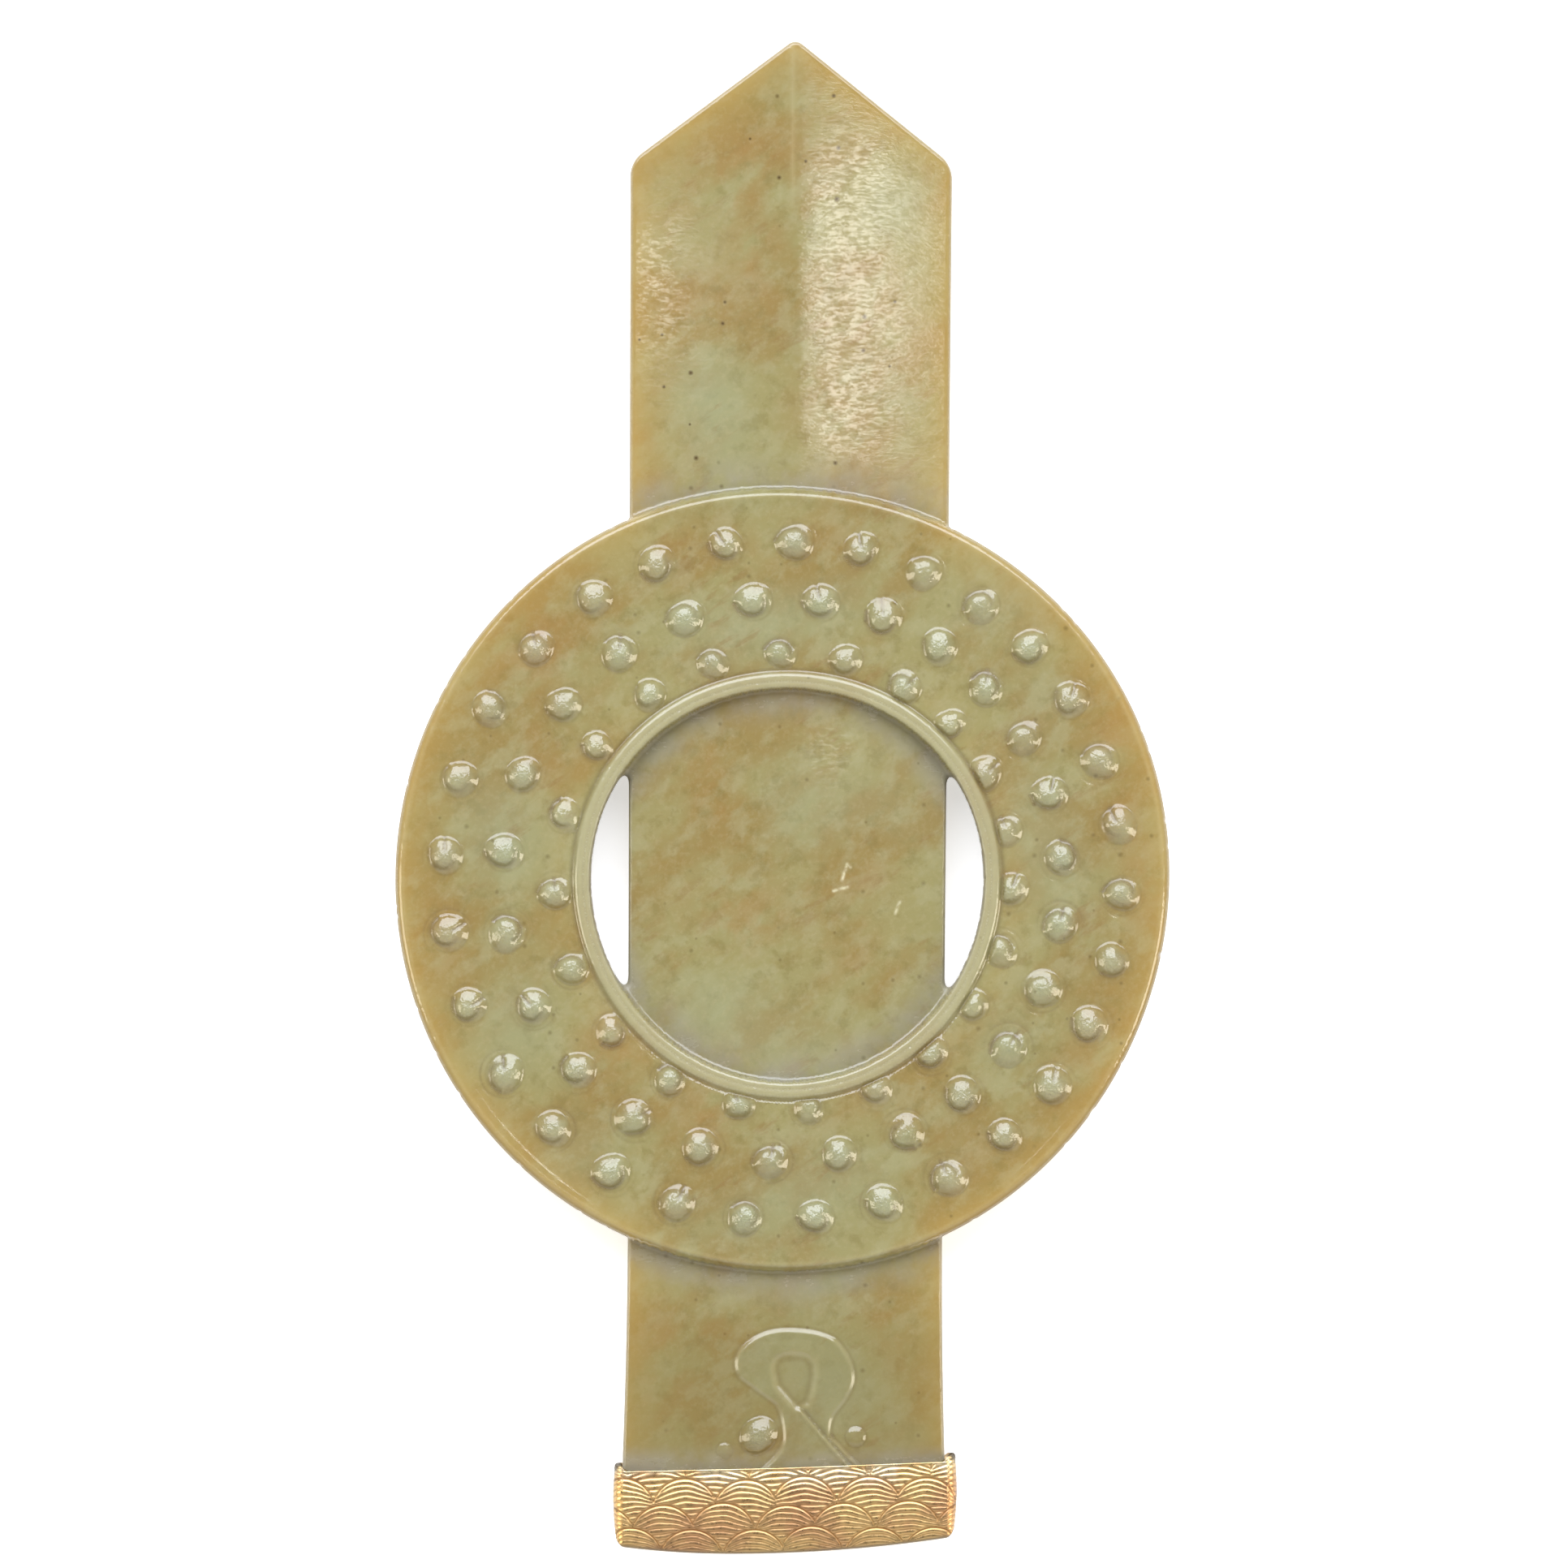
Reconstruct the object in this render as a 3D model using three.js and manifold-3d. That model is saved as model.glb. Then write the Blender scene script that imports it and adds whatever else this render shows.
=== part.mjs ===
// A carved jade gui-bi: a bi disc and a pointed gui tablet cut from one block of jade, with a gilt-metal
// cap over the tablet's lower end. Millimetres, +Z up. The object lies on its back: the carved front looks
// up, the tablet points along +Y, and the origin is under the middle of the whole object, on the surface
// that it lies on.

import * as THREE from 'three';
import { mergeVertices } from 'three/addons/utils/BufferGeometryUtils.js';
import Module from 'manifold-3d';

const wasm = await Module();
wasm.setup();

// The whole object, from the tablet's point to the cap's lower edge
const LENGTH = 175;
const TOP_Y = LENGTH / 2;
const BOTTOM_Y = -LENGTH / 2;

// The gui tablet
const TABLET_HALF_WIDTH = 18.2;          // at its waist, just below the disc
const TABLET_WAIST_Y = -50;
const TABLET_SHOULDER_GAIN = 0.43;       // half-width gained from the waist up to the shoulders
const TABLET_SHOULDER_Y = 73;
const TABLET_FOOT_GAIN = 0.43;           // half-width gained from the waist down to the cap's mouth
const TABLET_FOOT_Y = -76;
const TABLET_CENTRE_X = 0.6;             // the tablet's middle line, where it passes y = 0
const TABLET_LEAN = 0.006;               // and how far it leans to the right for each mm up
const POINT_X = 1.54;                    // where the two sloping sides would meet
const POINT_Y = 87.83;
const POINT_RUN_LEFT = 1.35;             // mm across for each mm down, on each side of the point
const POINT_RUN_RIGHT = 1.243;
const TABLET_BACK_Z = 1.5;
const RIDGE_Z = 6.7;                     // top of the ridge along the middle of the tablet's front
const RIDGE_X = 1.2;
const RIDGE_FALL = 0.038;                // how far the front falls away for each mm from the ridge
const TABLET_CHAMFER = 0.4;
const CHAMFER_SHARE = 0.25;              // near the point, each chamfer takes this share of the width
const RIDGE_CLEARANCE = 1.5;             // the ridge keeps this many chamfers away from either side
const TABLET_STATION_STEP = 16;

// The bi disc
const DISC_X = 0;
const DISC_Y = -9.44;
const DISC_RADIUS = 45;
const DISC_OVAL = 0.24;                  // the disc is hand-cut: a little taller than wide,
const DISC_THREE_WAVE = 0.09;            // with slight flats between
const DISC_FOUR_WAVE = 0.09;
const DISC_FIELD_Z = 8.2;                // the sunk ground that carries the bosses
const DISC_BACK_FIELD_Z = 0.35;
const OUTER_LIP_WIDTH = 1.1;
const OUTER_LIP_HEIGHT = 0.4;
const LIP_BEVEL = 0.3;
const DISC_SIDE_BEVEL = 0.5;
const DISC_SEGMENTS = 80;

// The hole, a little to the right of the disc's centre, and the raised rim around it
const HOLE_X = 0.56;
const HOLE_Y = -9.43;
const HOLE_RADIUS = 22.75;
const HOLE_SAG = 0.75;                   // its top and bottom edges both sit this much low
const INNER_RIM_WIDTH = 1.9;
const INNER_RIM_HEIGHT = 0.35;
const INNER_RIM_ROUND = 0.4;
const BOSS_CLEAR_RADIUS = 25.1;          // inside this the rim cuts the bosses off
const HOLE_SEGMENTS = 64;

// The two slits left open between the hole and the tablet's sides close in rounded ends
const SLIT_HALF_LENGTH = 11.4;
const SLIT_END_ROUND = 0.25;
const SLIT_WEB_REACH = 3;                // how far the web behind each end runs on into the stone
const SLIT_WEB_OVERLAP = 0.6;            // and how far it goes into the tablet and the rim
const SLIT_WEB_SINK = 0.5;               // how far its faces lie under the tablet's

// The three rings of bosses, counted clockwise from the first one at the top
const BOSS_CENTRE_X = 0.09;
const BOSS_CENTRE_Y = -9.62;
const BOSS_RINGS = [
  { radius: 39.2, count: 30, start: 92.4, crowding: 3.8, unevenness: 1 },
  { radius: 32.4, count: 25, start: 103.5, crowding: 6.3, unevenness: 1.3 },
  { radius: 26.4, count: 21, start: 98.2, crowding: 7.4, unevenness: 0.3 },
];
const BOSS_CROWDED_SIDE = 12;            // the angle at which the bosses stand closest together
const BOSS_UNEVEN_PHASE = 55;
const BOSS_RADIUS = 2.05;
const BOSS_HEIGHT = 1.05;
const BOSS_NUB_SHIFT = 0.55;             // the top of each boss sits to one side, like a comma's head
const BOSS_SEGMENTS = 10;
const BOSS_SINK = 0.15;
const DOME_CURVE = [[0.78, 0.55], [0.4, 0.92]];   // shares of a dome's radius and height, going up

// The scroll in low relief on the tablet's lower end
const SCROLL_HEIGHT = 0.35;
const SCROLL_FRONT_LIFT = 0.2;           // the front ribbon lies over the one that comes round behind it
const SCROLL_END_Y = -77.9;              // it runs on into the cap's mouth
const SCROLL_BASE_Z = 5;
const SCROLL_CURVE_STEPS = 4;
const NUBS = [
  { x: -2.72, y: -73.6, radius: 2.05, height: 0.8 },
  { x: 8.1, y: -74.1, radius: 1.15, height: 0.45 },
  { x: -6.76, y: -75.5, radius: 0.9, height: 0.35 },
];

// The gilt cap
const CAP_WALL = 0.8;
const CAP_GAP = 0.3;
const CAP_FRONT_ROOM = 0.85;             // room over the tablet's front for the scroll's relief
const CAP_LEFT_X = -19.6;
const CAP_RIGHT_X = 20.2;
const CAP_MOUTH_LEFT_Y = -77.9;
const CAP_MOUTH_MIDDLE_Y = -77.45;
const CAP_MOUTH_RIGHT_Y = -76.7;
const CAP_END_LEFT_Y = -86.5;
const CAP_END_RIGHT_Y = -85.4;
const CAP_END_LOWEST_X = -6;
const CAP_END_RIGHT_LIFT = 0.1;          // the lower edge bows a little less on the right
const CAP_CORNER = 1;
const CAP_CORNER_DROP = 0.2;
const CAP_BACK_Z = 0.3;
const CAP_CROWN = 0.35;                  // how far the broad faces swell in the middle
const CAP_EDGE_ROUND = 1.3;
const CAP_CURVE_STEPS = 6;
const TANG_END_Y = -84;                  // the tablet's own lower end, hidden in the cap
const CAP_CAVITY_FLOOR_Y = TANG_END_Y - CAP_GAP;

// The wave-scale pattern chased on the cap: rows of arches, each row about half a scale on from the one above
const SCALE_WIDTH = 7.05;
const SCALE_RADIUS = 3.75;
const SCALE_ROWS = [
  { firstX: -11.35, topY: -78.7 },
  { firstX: -13.8, topY: -81.7 },
  { firstX: -10.5, topY: -84.5 },
];
const SCALE_TILT = 0.012;                // the rows climb a little to the right
const SCALE_ARC_HALF = Math.PI * 0.36;   // how far an arch shows on each side of its top
const SCALE_LINE = 0.3;
const SCALE_DEPTH = 0.12;
const SCALE_ARC_STEPS = 6;
const SCALE_EDGE_MARGIN = 0.5;

const PRISM_REACH = 40;                  // further than the part reaches, for the solids that trim
const CUT_MARGIN = 1;                    // and how far a cut runs on past a face
const MERGE_DISTANCE = 1e-4;
const SEARCH_TOLERANCE = 1e-3;

function toSolid(geometry) {
  const bare = geometry.index ? geometry.toNonIndexed() : geometry.clone();
  bare.deleteAttribute('normal');
  bare.deleteAttribute('uv');
  const merged = mergeVertices(bare, MERGE_DISTANCE);
  return new wasm.Manifold(new wasm.Mesh({
    numProp: 3,
    vertProperties: new Float32Array(merged.attributes.position.array),
    triVerts: new Uint32Array(merged.index.array),
  }));
}

function toGeometry(solid) {
  const mesh = solid.getMesh();
  const geometry = new THREE.BufferGeometry();
  geometry.setAttribute('position', new THREE.BufferAttribute(new Float32Array(mesh.vertProperties), 3));
  geometry.setIndex(new THREE.BufferAttribute(new Uint32Array(mesh.triVerts), 1));
  geometry.computeVertexNormals();
  return geometry;
}

function joinAll(solids) {
  return solids.reduce((whole, solid) => whole.add(solid));
}

// An outline in the XY plane, raised from one height to another
function raisedOutline(shape, lowZ, highZ, curveSegments) {
  const geometry = new THREE.ExtrudeGeometry(shape, {
    depth: highZ - lowZ,
    bevelEnabled: false,
    curveSegments,
  });
  geometry.translate(0, 0, lowZ);
  return toSolid(geometry);
}

// A cross-section in the XZ plane, run along Y
function runSection(shape, lowY, highY, curveSegments) {
  const geometry = new THREE.ExtrudeGeometry(shape, {
    depth: highY - lowY,
    bevelEnabled: false,
    curveSegments,
  });
  geometry.rotateX(Math.PI / 2);
  geometry.translate(0, highY, 0);
  return toSolid(geometry);
}

// A solid through rings of points, from one end to the other. Every ring runs the same way round and has
// the same number of points; both ends are closed by a fan from the ring's first point.
function loftRings(rings) {
  const count = rings[0].length;
  const points = rings.flat();
  const faces = [];
  for (let ring = 0; ring < rings.length - 1; ring += 1) {
    for (let i = 0; i < count; i += 1) {
      const a = ring * count + i;
      const b = ring * count + (i + 1) % count;
      faces.push(a, b, b + count);
      faces.push(a, b + count, a + count);
    }
  }
  const last = (rings.length - 1) * count;
  for (let i = 1; i < count - 1; i += 1) {
    faces.push(0, i + 1, i);
    faces.push(last, last + i, last + i + 1);
  }
  const geometry = new THREE.BufferGeometry();
  geometry.setAttribute('position', new THREE.Float32BufferAttribute(points.flat(), 3));
  geometry.setIndex(faces);
  return toSolid(geometry);
}

// The tablet's sides. The body narrows to a waist below the disc and spreads a little to each end.
function tabletHalfWidth(y) {
  if (y > TABLET_WAIST_Y) {
    const up = (y - TABLET_WAIST_Y) / (TABLET_SHOULDER_Y - TABLET_WAIST_Y);
    return TABLET_HALF_WIDTH + TABLET_SHOULDER_GAIN * Math.min(up, 1);
  }
  const down = (TABLET_WAIST_Y - y) / (TABLET_WAIST_Y - TABLET_FOOT_Y);
  return TABLET_HALF_WIDTH + TABLET_FOOT_GAIN * Math.min(down * down, 1);
}

function tabletSides(y) {
  const middle = TABLET_CENTRE_X + TABLET_LEAN * y;
  const half = tabletHalfWidth(y);
  const belowPoint = POINT_Y - y;
  return {
    left: Math.max(middle - half, POINT_X - POINT_RUN_LEFT * belowPoint),
    right: Math.min(middle + half, POINT_X + POINT_RUN_RIGHT * belowPoint),
  };
}

function tabletFrontZ(x) {
  return RIDGE_Z - RIDGE_FALL * Math.abs(x - RIDGE_X);
}

// One cross-section of the tablet, seen from its foot: back, right side, front over the ridge, left side
function tabletRing(y) {
  const { left, right } = tabletSides(y);
  const cut = Math.min(TABLET_CHAMFER, (right - left) * CHAMFER_SHARE);
  const ridge = THREE.MathUtils.clamp(RIDGE_X, left + cut * RIDGE_CLEARANCE, right - cut * RIDGE_CLEARANCE);
  return [
    [left + cut, y, TABLET_BACK_Z],
    [left, y, TABLET_BACK_Z + cut],
    [left, y, tabletFrontZ(left) - cut],
    [left + cut, y, tabletFrontZ(left + cut)],
    [ridge, y, tabletFrontZ(ridge)],
    [right - cut, y, tabletFrontZ(right - cut)],
    [right, y, tabletFrontZ(right) - cut],
    [right, y, TABLET_BACK_Z + cut],
    [right - cut, y, TABLET_BACK_Z],
  ];
}

// Heights where a side slope of the point runs into the body's side
function shoulderY(side) {
  let low = TABLET_WAIST_Y;
  let high = POINT_Y;
  while (high - low > SEARCH_TOLERANCE) {
    const y = (low + high) / 2;
    const middle = TABLET_CENTRE_X + TABLET_LEAN * y;
    const bodyReach = side === 'left' ? POINT_X - (middle - tabletHalfWidth(y))
      : middle + tabletHalfWidth(y) - POINT_X;
    const run = side === 'left' ? POINT_RUN_LEFT : POINT_RUN_RIGHT;
    if (run * (POINT_Y - y) > bodyReach) low = y;
    else high = y;
  }
  return low;
}

function makeTablet() {
  const stations = [TANG_END_Y];
  for (let y = TABLET_FOOT_Y; y < TABLET_SHOULDER_Y - TABLET_STATION_STEP; y += TABLET_STATION_STEP) {
    stations.push(y);
  }
  stations.push(shoulderY('right'), shoulderY('left'), TOP_Y);
  stations.sort((a, b) => a - b);
  return loftRings(stations.map(tabletRing));
}

// The outline is hand-cut: its radius changes a little with the angle
function discRadiusFactor(angle) {
  const radius = DISC_RADIUS - DISC_OVAL * Math.cos(2 * angle)
    + DISC_THREE_WAVE * Math.sin(3 * angle) + DISC_FOUR_WAVE * Math.sin(4 * angle);
  return radius / DISC_RADIUS;
}

function holeRadiusFactor(angle) {
  return (HOLE_RADIUS - HOLE_SAG * Math.sin(angle) ** 3) / HOLE_RADIUS;
}

function perfectlyRound() {
  return 1;
}

// Turned about an upright axis at x, y. The profile holds radius and height pairs, and the radius factor
// says how the turned form departs from a circle at each angle.
function turned(profile, segments, x, y, radiusFactor = perfectlyRound) {
  const points = profile.map(([radius, z]) => new THREE.Vector2(radius, z));
  const geometry = new THREE.LatheGeometry(points, segments);
  geometry.rotateX(Math.PI / 2);
  const position = geometry.attributes.position;
  for (let i = 0; i < position.count; i += 1) {
    const factor = radiusFactor(Math.atan2(position.getY(i), position.getX(i)));
    position.setX(i, position.getX(i) * factor);
    position.setY(i, position.getY(i) * factor);
  }
  geometry.translate(x, y, 0);
  return geometry;
}

function makeDiscBody() {
  const lipTop = DISC_FIELD_Z + OUTER_LIP_HEIGHT;
  const lipInner = DISC_RADIUS - LIP_BEVEL - OUTER_LIP_WIDTH;
  return toSolid(turned([
    [0, DISC_BACK_FIELD_Z],
    [lipInner - LIP_BEVEL, DISC_BACK_FIELD_Z],
    [lipInner, 0],
    [DISC_RADIUS - LIP_BEVEL, 0],
    [DISC_RADIUS, DISC_SIDE_BEVEL],
    [DISC_RADIUS, lipTop - DISC_SIDE_BEVEL],
    [DISC_RADIUS - LIP_BEVEL, lipTop],
    [lipInner, lipTop],
    [lipInner - LIP_BEVEL, DISC_FIELD_Z],
    [0, DISC_FIELD_Z],
  ], DISC_SEGMENTS, DISC_X, DISC_Y, discRadiusFactor));
}

// A plain upright cylinder about the hole's centre, to cut with
function holeCutter(radius) {
  const height = PRISM_REACH;
  return toSolid(turned([
    [0, -height],
    [radius, -height],
    [radius, height],
    [0, height],
  ], HOLE_SEGMENTS, HOLE_X, HOLE_Y, holeRadiusFactor));
}

function makeInnerRim() {
  const inner = HOLE_RADIUS;
  const outer = HOLE_RADIUS + INNER_RIM_WIDTH;
  const top = DISC_FIELD_Z + INNER_RIM_HEIGHT;
  return toSolid(turned([
    [inner, INNER_RIM_ROUND],
    [inner + INNER_RIM_ROUND, 0],
    [outer - INNER_RIM_ROUND, 0],
    [outer, INNER_RIM_ROUND],
    [outer, top - INNER_RIM_ROUND],
    [outer - INNER_RIM_ROUND, top],
    [inner + INNER_RIM_ROUND, top],
    [inner, top - INNER_RIM_ROUND],
    [inner, INNER_RIM_ROUND],
  ], HOLE_SEGMENTS, HOLE_X, HOLE_Y, holeRadiusFactor));
}

// The stone left behind one end of a slit. Side is -1 for the left slit and 1 for the right, and end is 1
// for the upper end and -1 for the lower.
function slitWeb(side, end) {
  const endY = HOLE_Y + end * SLIT_HALF_LENGTH;
  const farY = endY + end * SLIT_WEB_REACH;
  const edgeAt = (y) => (side < 0 ? tabletSides(y).left : tabletSides(y).right);
  const wallAt = (y) => {
    const angle = Math.asin((y - HOLE_Y) / HOLE_RADIUS);
    return HOLE_X + side * HOLE_RADIUS * Math.cos(angle) * holeRadiusFactor(angle);
  };
  const outward = side * SLIT_WEB_OVERLAP;
  const cornerY = endY - end * SLIT_END_ROUND;
  const outline = [
    [edgeAt(endY) - outward, cornerY],
    [edgeAt(endY), cornerY],
    [edgeAt(endY) + side * SLIT_END_ROUND, endY],
    [wallAt(endY), cornerY],
    [wallAt(endY) + outward, cornerY],
    [edgeAt(farY) - outward, farY],
  ];
  const shape = new THREE.Shape(outline.map(([x, y]) => new THREE.Vector2(x, y)));
  return raisedOutline(shape, TABLET_BACK_Z + SLIT_WEB_SINK, tabletFrontZ(edgeAt(endY)) - SLIT_WEB_SINK, 1);
}

// A boss: a low dome whose top leans to one side. It starts at the given height.
function makeDome(x, y, z, radius, height, shift, direction) {
  const geometry = turned([
    [0, -BOSS_SINK],
    [radius, -BOSS_SINK],
    ...DOME_CURVE.map(([across, up]) => [radius * across, height * up]),
    [0, height],
  ], BOSS_SEGMENTS, 0, 0);
  const position = geometry.attributes.position;
  for (let i = 0; i < position.count; i += 1) {
    const lean = shift * Math.max(position.getZ(i), 0) / height;
    position.setX(i, position.getX(i) + lean * Math.cos(direction));
    position.setY(i, position.getY(i) + lean * Math.sin(direction));
  }
  geometry.translate(x, y, z);
  return toSolid(geometry);
}

// The bosses stand closer together on the disc's right side than on its left. Angles are in degrees.
function bossAngle(ring, index) {
  const even = ring.start - index * 360 / ring.count;
  const crowded = ring.crowding * Math.sin(THREE.MathUtils.degToRad(even - BOSS_CROWDED_SIDE));
  const uneven = ring.unevenness * Math.cos(THREE.MathUtils.degToRad(2 * even - BOSS_UNEVEN_PHASE));
  return even - crowded + uneven;
}

function makeBosses() {
  const bosses = [];
  for (const ring of BOSS_RINGS) {
    for (let i = 0; i < ring.count; i += 1) {
      const angle = THREE.MathUtils.degToRad(bossAngle(ring, i));
      const x = BOSS_CENTRE_X + ring.radius * Math.cos(angle);
      const y = BOSS_CENTRE_Y + ring.radius * Math.sin(angle);
      bosses.push(makeDome(x, y, DISC_FIELD_Z, BOSS_RADIUS, BOSS_HEIGHT, BOSS_NUB_SHIFT, -angle));
    }
  }
  return joinAll(bosses).subtract(holeCutter(BOSS_CLEAR_RADIUS));
}

// The ribbon's loop, from its lower left end round to its lower right end, and the hollow in it
function scrollOutline() {
  const shape = new THREE.Shape();
  shape.moveTo(-2, SCROLL_END_Y);
  shape.quadraticCurveTo(1, -74.2, -1.2, -70);
  shape.lineTo(-5.1, -67.4);
  shape.quadraticCurveTo(-7.4, -62.2, 0.5, -61.4);
  shape.quadraticCurveTo(8.2, -61.2, 8.3, -67);
  shape.quadraticCurveTo(8, -69.2, 6.2, -71.3);
  shape.quadraticCurveTo(5.3, -73, 6.2, -75);
  shape.lineTo(8.6, SCROLL_END_Y);
  const hollow = new THREE.Path();
  hollow.moveTo(-0.7, -66.4);
  hollow.quadraticCurveTo(0.2, -68.4, 1.7, -70);
  hollow.lineTo(2.6, -69.8);
  hollow.quadraticCurveTo(4.6, -66.6, 3.3, -65.2);
  hollow.quadraticCurveTo(0.8, -63.9, -0.5, -65.2);
  shape.holes.push(hollow);
  return shape;
}

// The front ribbon alone: it comes down from the loop's left side and crosses over the right end
function scrollFrontRibbon() {
  const shape = new THREE.Shape();
  shape.moveTo(-2, SCROLL_END_Y);
  shape.quadraticCurveTo(1, -74.2, -1.2, -70);
  shape.lineTo(-5, -67.45);
  shape.lineTo(-1.1, -65.9);
  shape.quadraticCurveTo(0, -68.6, 1.7, -70.3);
  shape.lineTo(8.5, SCROLL_END_Y);
  return shape;
}

// Everything that lies less than the given height over the tablet's front, beside the ridge too
function underRaisedFront(height) {
  const shape = new THREE.Shape();
  shape.moveTo(-PRISM_REACH, SCROLL_BASE_Z - PRISM_REACH);
  shape.lineTo(PRISM_REACH, SCROLL_BASE_Z - PRISM_REACH);
  shape.lineTo(PRISM_REACH, tabletFrontZ(PRISM_REACH) + height);
  shape.lineTo(RIDGE_X, RIDGE_Z + height);
  shape.lineTo(-PRISM_REACH, tabletFrontZ(-PRISM_REACH) + height);
  return runSection(shape, BOTTOM_Y, TOP_Y, 1);
}

function lowRelief(shape, height) {
  const block = raisedOutline(shape, SCROLL_BASE_Z, RIDGE_Z + CUT_MARGIN, SCROLL_CURVE_STEPS);
  return block.intersect(underRaisedFront(height));
}

function makeScroll() {
  const loop = lowRelief(scrollOutline(), SCROLL_HEIGHT);
  const front = lowRelief(scrollFrontRibbon(), SCROLL_HEIGHT + SCROLL_FRONT_LIFT);
  const nubs = NUBS.map(({ x, y, radius, height }) => (
    makeDome(x, y, tabletFrontZ(x), radius, height, 0, 0)));
  return joinAll([loop, front, ...nubs]);
}

function makeJade() {
  const disc = makeDiscBody()
    .add(makeBosses())
    .subtract(holeCutter(HOLE_RADIUS + INNER_RIM_WIDTH / 2))
    .add(makeInnerRim());
  const webs = [[-1, -1], [-1, 1], [1, -1], [1, 1]].map(([side, end]) => slitWeb(side, end));
  return joinAll([disc, makeTablet(), makeScroll(), ...webs]);
}

// The cap seen from the front: a slightly skewed band with a bowed lower edge and rounded corners
function capOutline() {
  const shape = new THREE.Shape();
  shape.moveTo(CAP_LEFT_X, CAP_MOUTH_LEFT_Y);
  shape.lineTo(CAP_LEFT_X, CAP_END_LEFT_Y + CAP_CORNER);
  const leftDropY = CAP_END_LEFT_Y - CAP_CORNER_DROP;
  const rightDropY = CAP_END_RIGHT_Y - CAP_CORNER_DROP;
  const rightBowY = BOTTOM_Y + CAP_END_RIGHT_LIFT;
  shape.quadraticCurveTo(CAP_LEFT_X, CAP_END_LEFT_Y, CAP_LEFT_X + CAP_CORNER, leftDropY);
  shape.quadraticCurveTo(CAP_LEFT_X / 2, BOTTOM_Y, CAP_END_LOWEST_X, BOTTOM_Y);
  shape.quadraticCurveTo(CAP_RIGHT_X / 2, rightBowY, CAP_RIGHT_X - CAP_CORNER, rightDropY);
  shape.quadraticCurveTo(CAP_RIGHT_X, CAP_END_RIGHT_Y, CAP_RIGHT_X, CAP_END_RIGHT_Y + CAP_CORNER);
  shape.lineTo(CAP_RIGHT_X, CAP_MOUTH_RIGHT_Y);
  shape.lineTo(0, CAP_MOUTH_MIDDLE_Y);
  return shape;
}

// The cap's section: flat sides, rounded edges, and broad faces that swell a little in the middle
function capSection() {
  const left = CAP_LEFT_X;
  const right = CAP_RIGHT_X;
  const middle = (left + right) / 2;
  const low = CAP_BACK_Z + CAP_CROWN / 2;
  const high = RIDGE_Z + CAP_FRONT_ROOM + CAP_WALL - CAP_CROWN;
  const shape = new THREE.Shape();
  shape.moveTo(left + CAP_EDGE_ROUND, low);
  shape.quadraticCurveTo(middle, CAP_BACK_Z - CAP_CROWN / 2, right - CAP_EDGE_ROUND, low);
  shape.quadraticCurveTo(right, low, right, low + CAP_EDGE_ROUND);
  shape.lineTo(right, high - CAP_EDGE_ROUND);
  shape.quadraticCurveTo(right, high, right - CAP_EDGE_ROUND, high);
  shape.quadraticCurveTo(middle, high + 2 * CAP_CROWN, left + CAP_EDGE_ROUND, high);
  shape.quadraticCurveTo(left, high, left, high - CAP_EDGE_ROUND);
  shape.lineTo(left, low + CAP_EDGE_ROUND);
  shape.quadraticCurveTo(left, low, left + CAP_EDGE_ROUND, low);
  return shape;
}

// The room in the cap for the tablet's lower end
function capCavitySection() {
  const { left, right } = tabletSides(TABLET_FOOT_Y);
  const sideZ = Math.min(tabletFrontZ(left), tabletFrontZ(right)) + CAP_FRONT_ROOM;
  const shape = new THREE.Shape();
  shape.moveTo(left - CAP_GAP, TABLET_BACK_Z - CAP_GAP);
  shape.lineTo(right + CAP_GAP, TABLET_BACK_Z - CAP_GAP);
  shape.lineTo(right + CAP_GAP, sideZ);
  shape.lineTo(RIDGE_X, RIDGE_Z + CAP_FRONT_ROOM);
  shape.lineTo(left - CAP_GAP, sideZ);
  return shape;
}

// One arch of the pattern as a narrow curved strip, seen from the front
function scaleArch(x, topY) {
  const centreY = topY - SCALE_RADIUS;
  const outer = [];
  const inner = [];
  for (let i = 0; i <= SCALE_ARC_STEPS; i += 1) {
    const angle = SCALE_ARC_HALF * (2 * i / SCALE_ARC_STEPS - 1);
    const across = Math.sin(angle);
    const up = Math.cos(angle);
    const within = SCALE_RADIUS - SCALE_LINE;
    outer.push(new THREE.Vector2(x + SCALE_RADIUS * across, centreY + SCALE_RADIUS * up));
    inner.unshift(new THREE.Vector2(x + within * across, centreY + within * up));
  }
  return new THREE.Shape([...outer, ...inner]);
}

function scaleArches() {
  const arches = [];
  const reach = SCALE_RADIUS * Math.sin(SCALE_ARC_HALF) + SCALE_EDGE_MARGIN;
  for (const { firstX, topY } of SCALE_ROWS) {
    for (let x = firstX; x + reach < CAP_RIGHT_X - CAP_EDGE_ROUND; x += SCALE_WIDTH) {
      arches.push(raisedOutline(scaleArch(x, topY + SCALE_TILT * x), RIDGE_Z, PRISM_REACH, 1));
    }
  }
  return joinAll(arches);
}

function makeCap() {
  const band = raisedOutline(capOutline(), -PRISM_REACH, PRISM_REACH, CAP_CURVE_STEPS);
  const pastMouthY = CAP_MOUTH_RIGHT_Y + CUT_MARGIN;
  const section = runSection(capSection(), BOTTOM_Y - CUT_MARGIN, pastMouthY, CAP_CURVE_STEPS);
  const body = band.intersect(section);
  const cavity = runSection(capCavitySection(), CAP_CAVITY_FLOOR_Y, pastMouthY, 1);
  const grooves = scaleArches().subtract(body.translate([0, 0, -SCALE_DEPTH]));
  return body.subtract(grooves).subtract(cavity);
}

function namedMesh(name, solid, material) {
  const mesh = new THREE.Mesh(toGeometry(solid), material);
  mesh.name = name;
  return mesh;
}

const jade = new THREE.MeshStandardMaterial({ color: 0xa3a074, roughness: 0.28, metalness: 0 });
const gilt = new THREE.MeshStandardMaterial({ color: 0xd0a257, roughness: 0.35, metalness: 1 });

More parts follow.
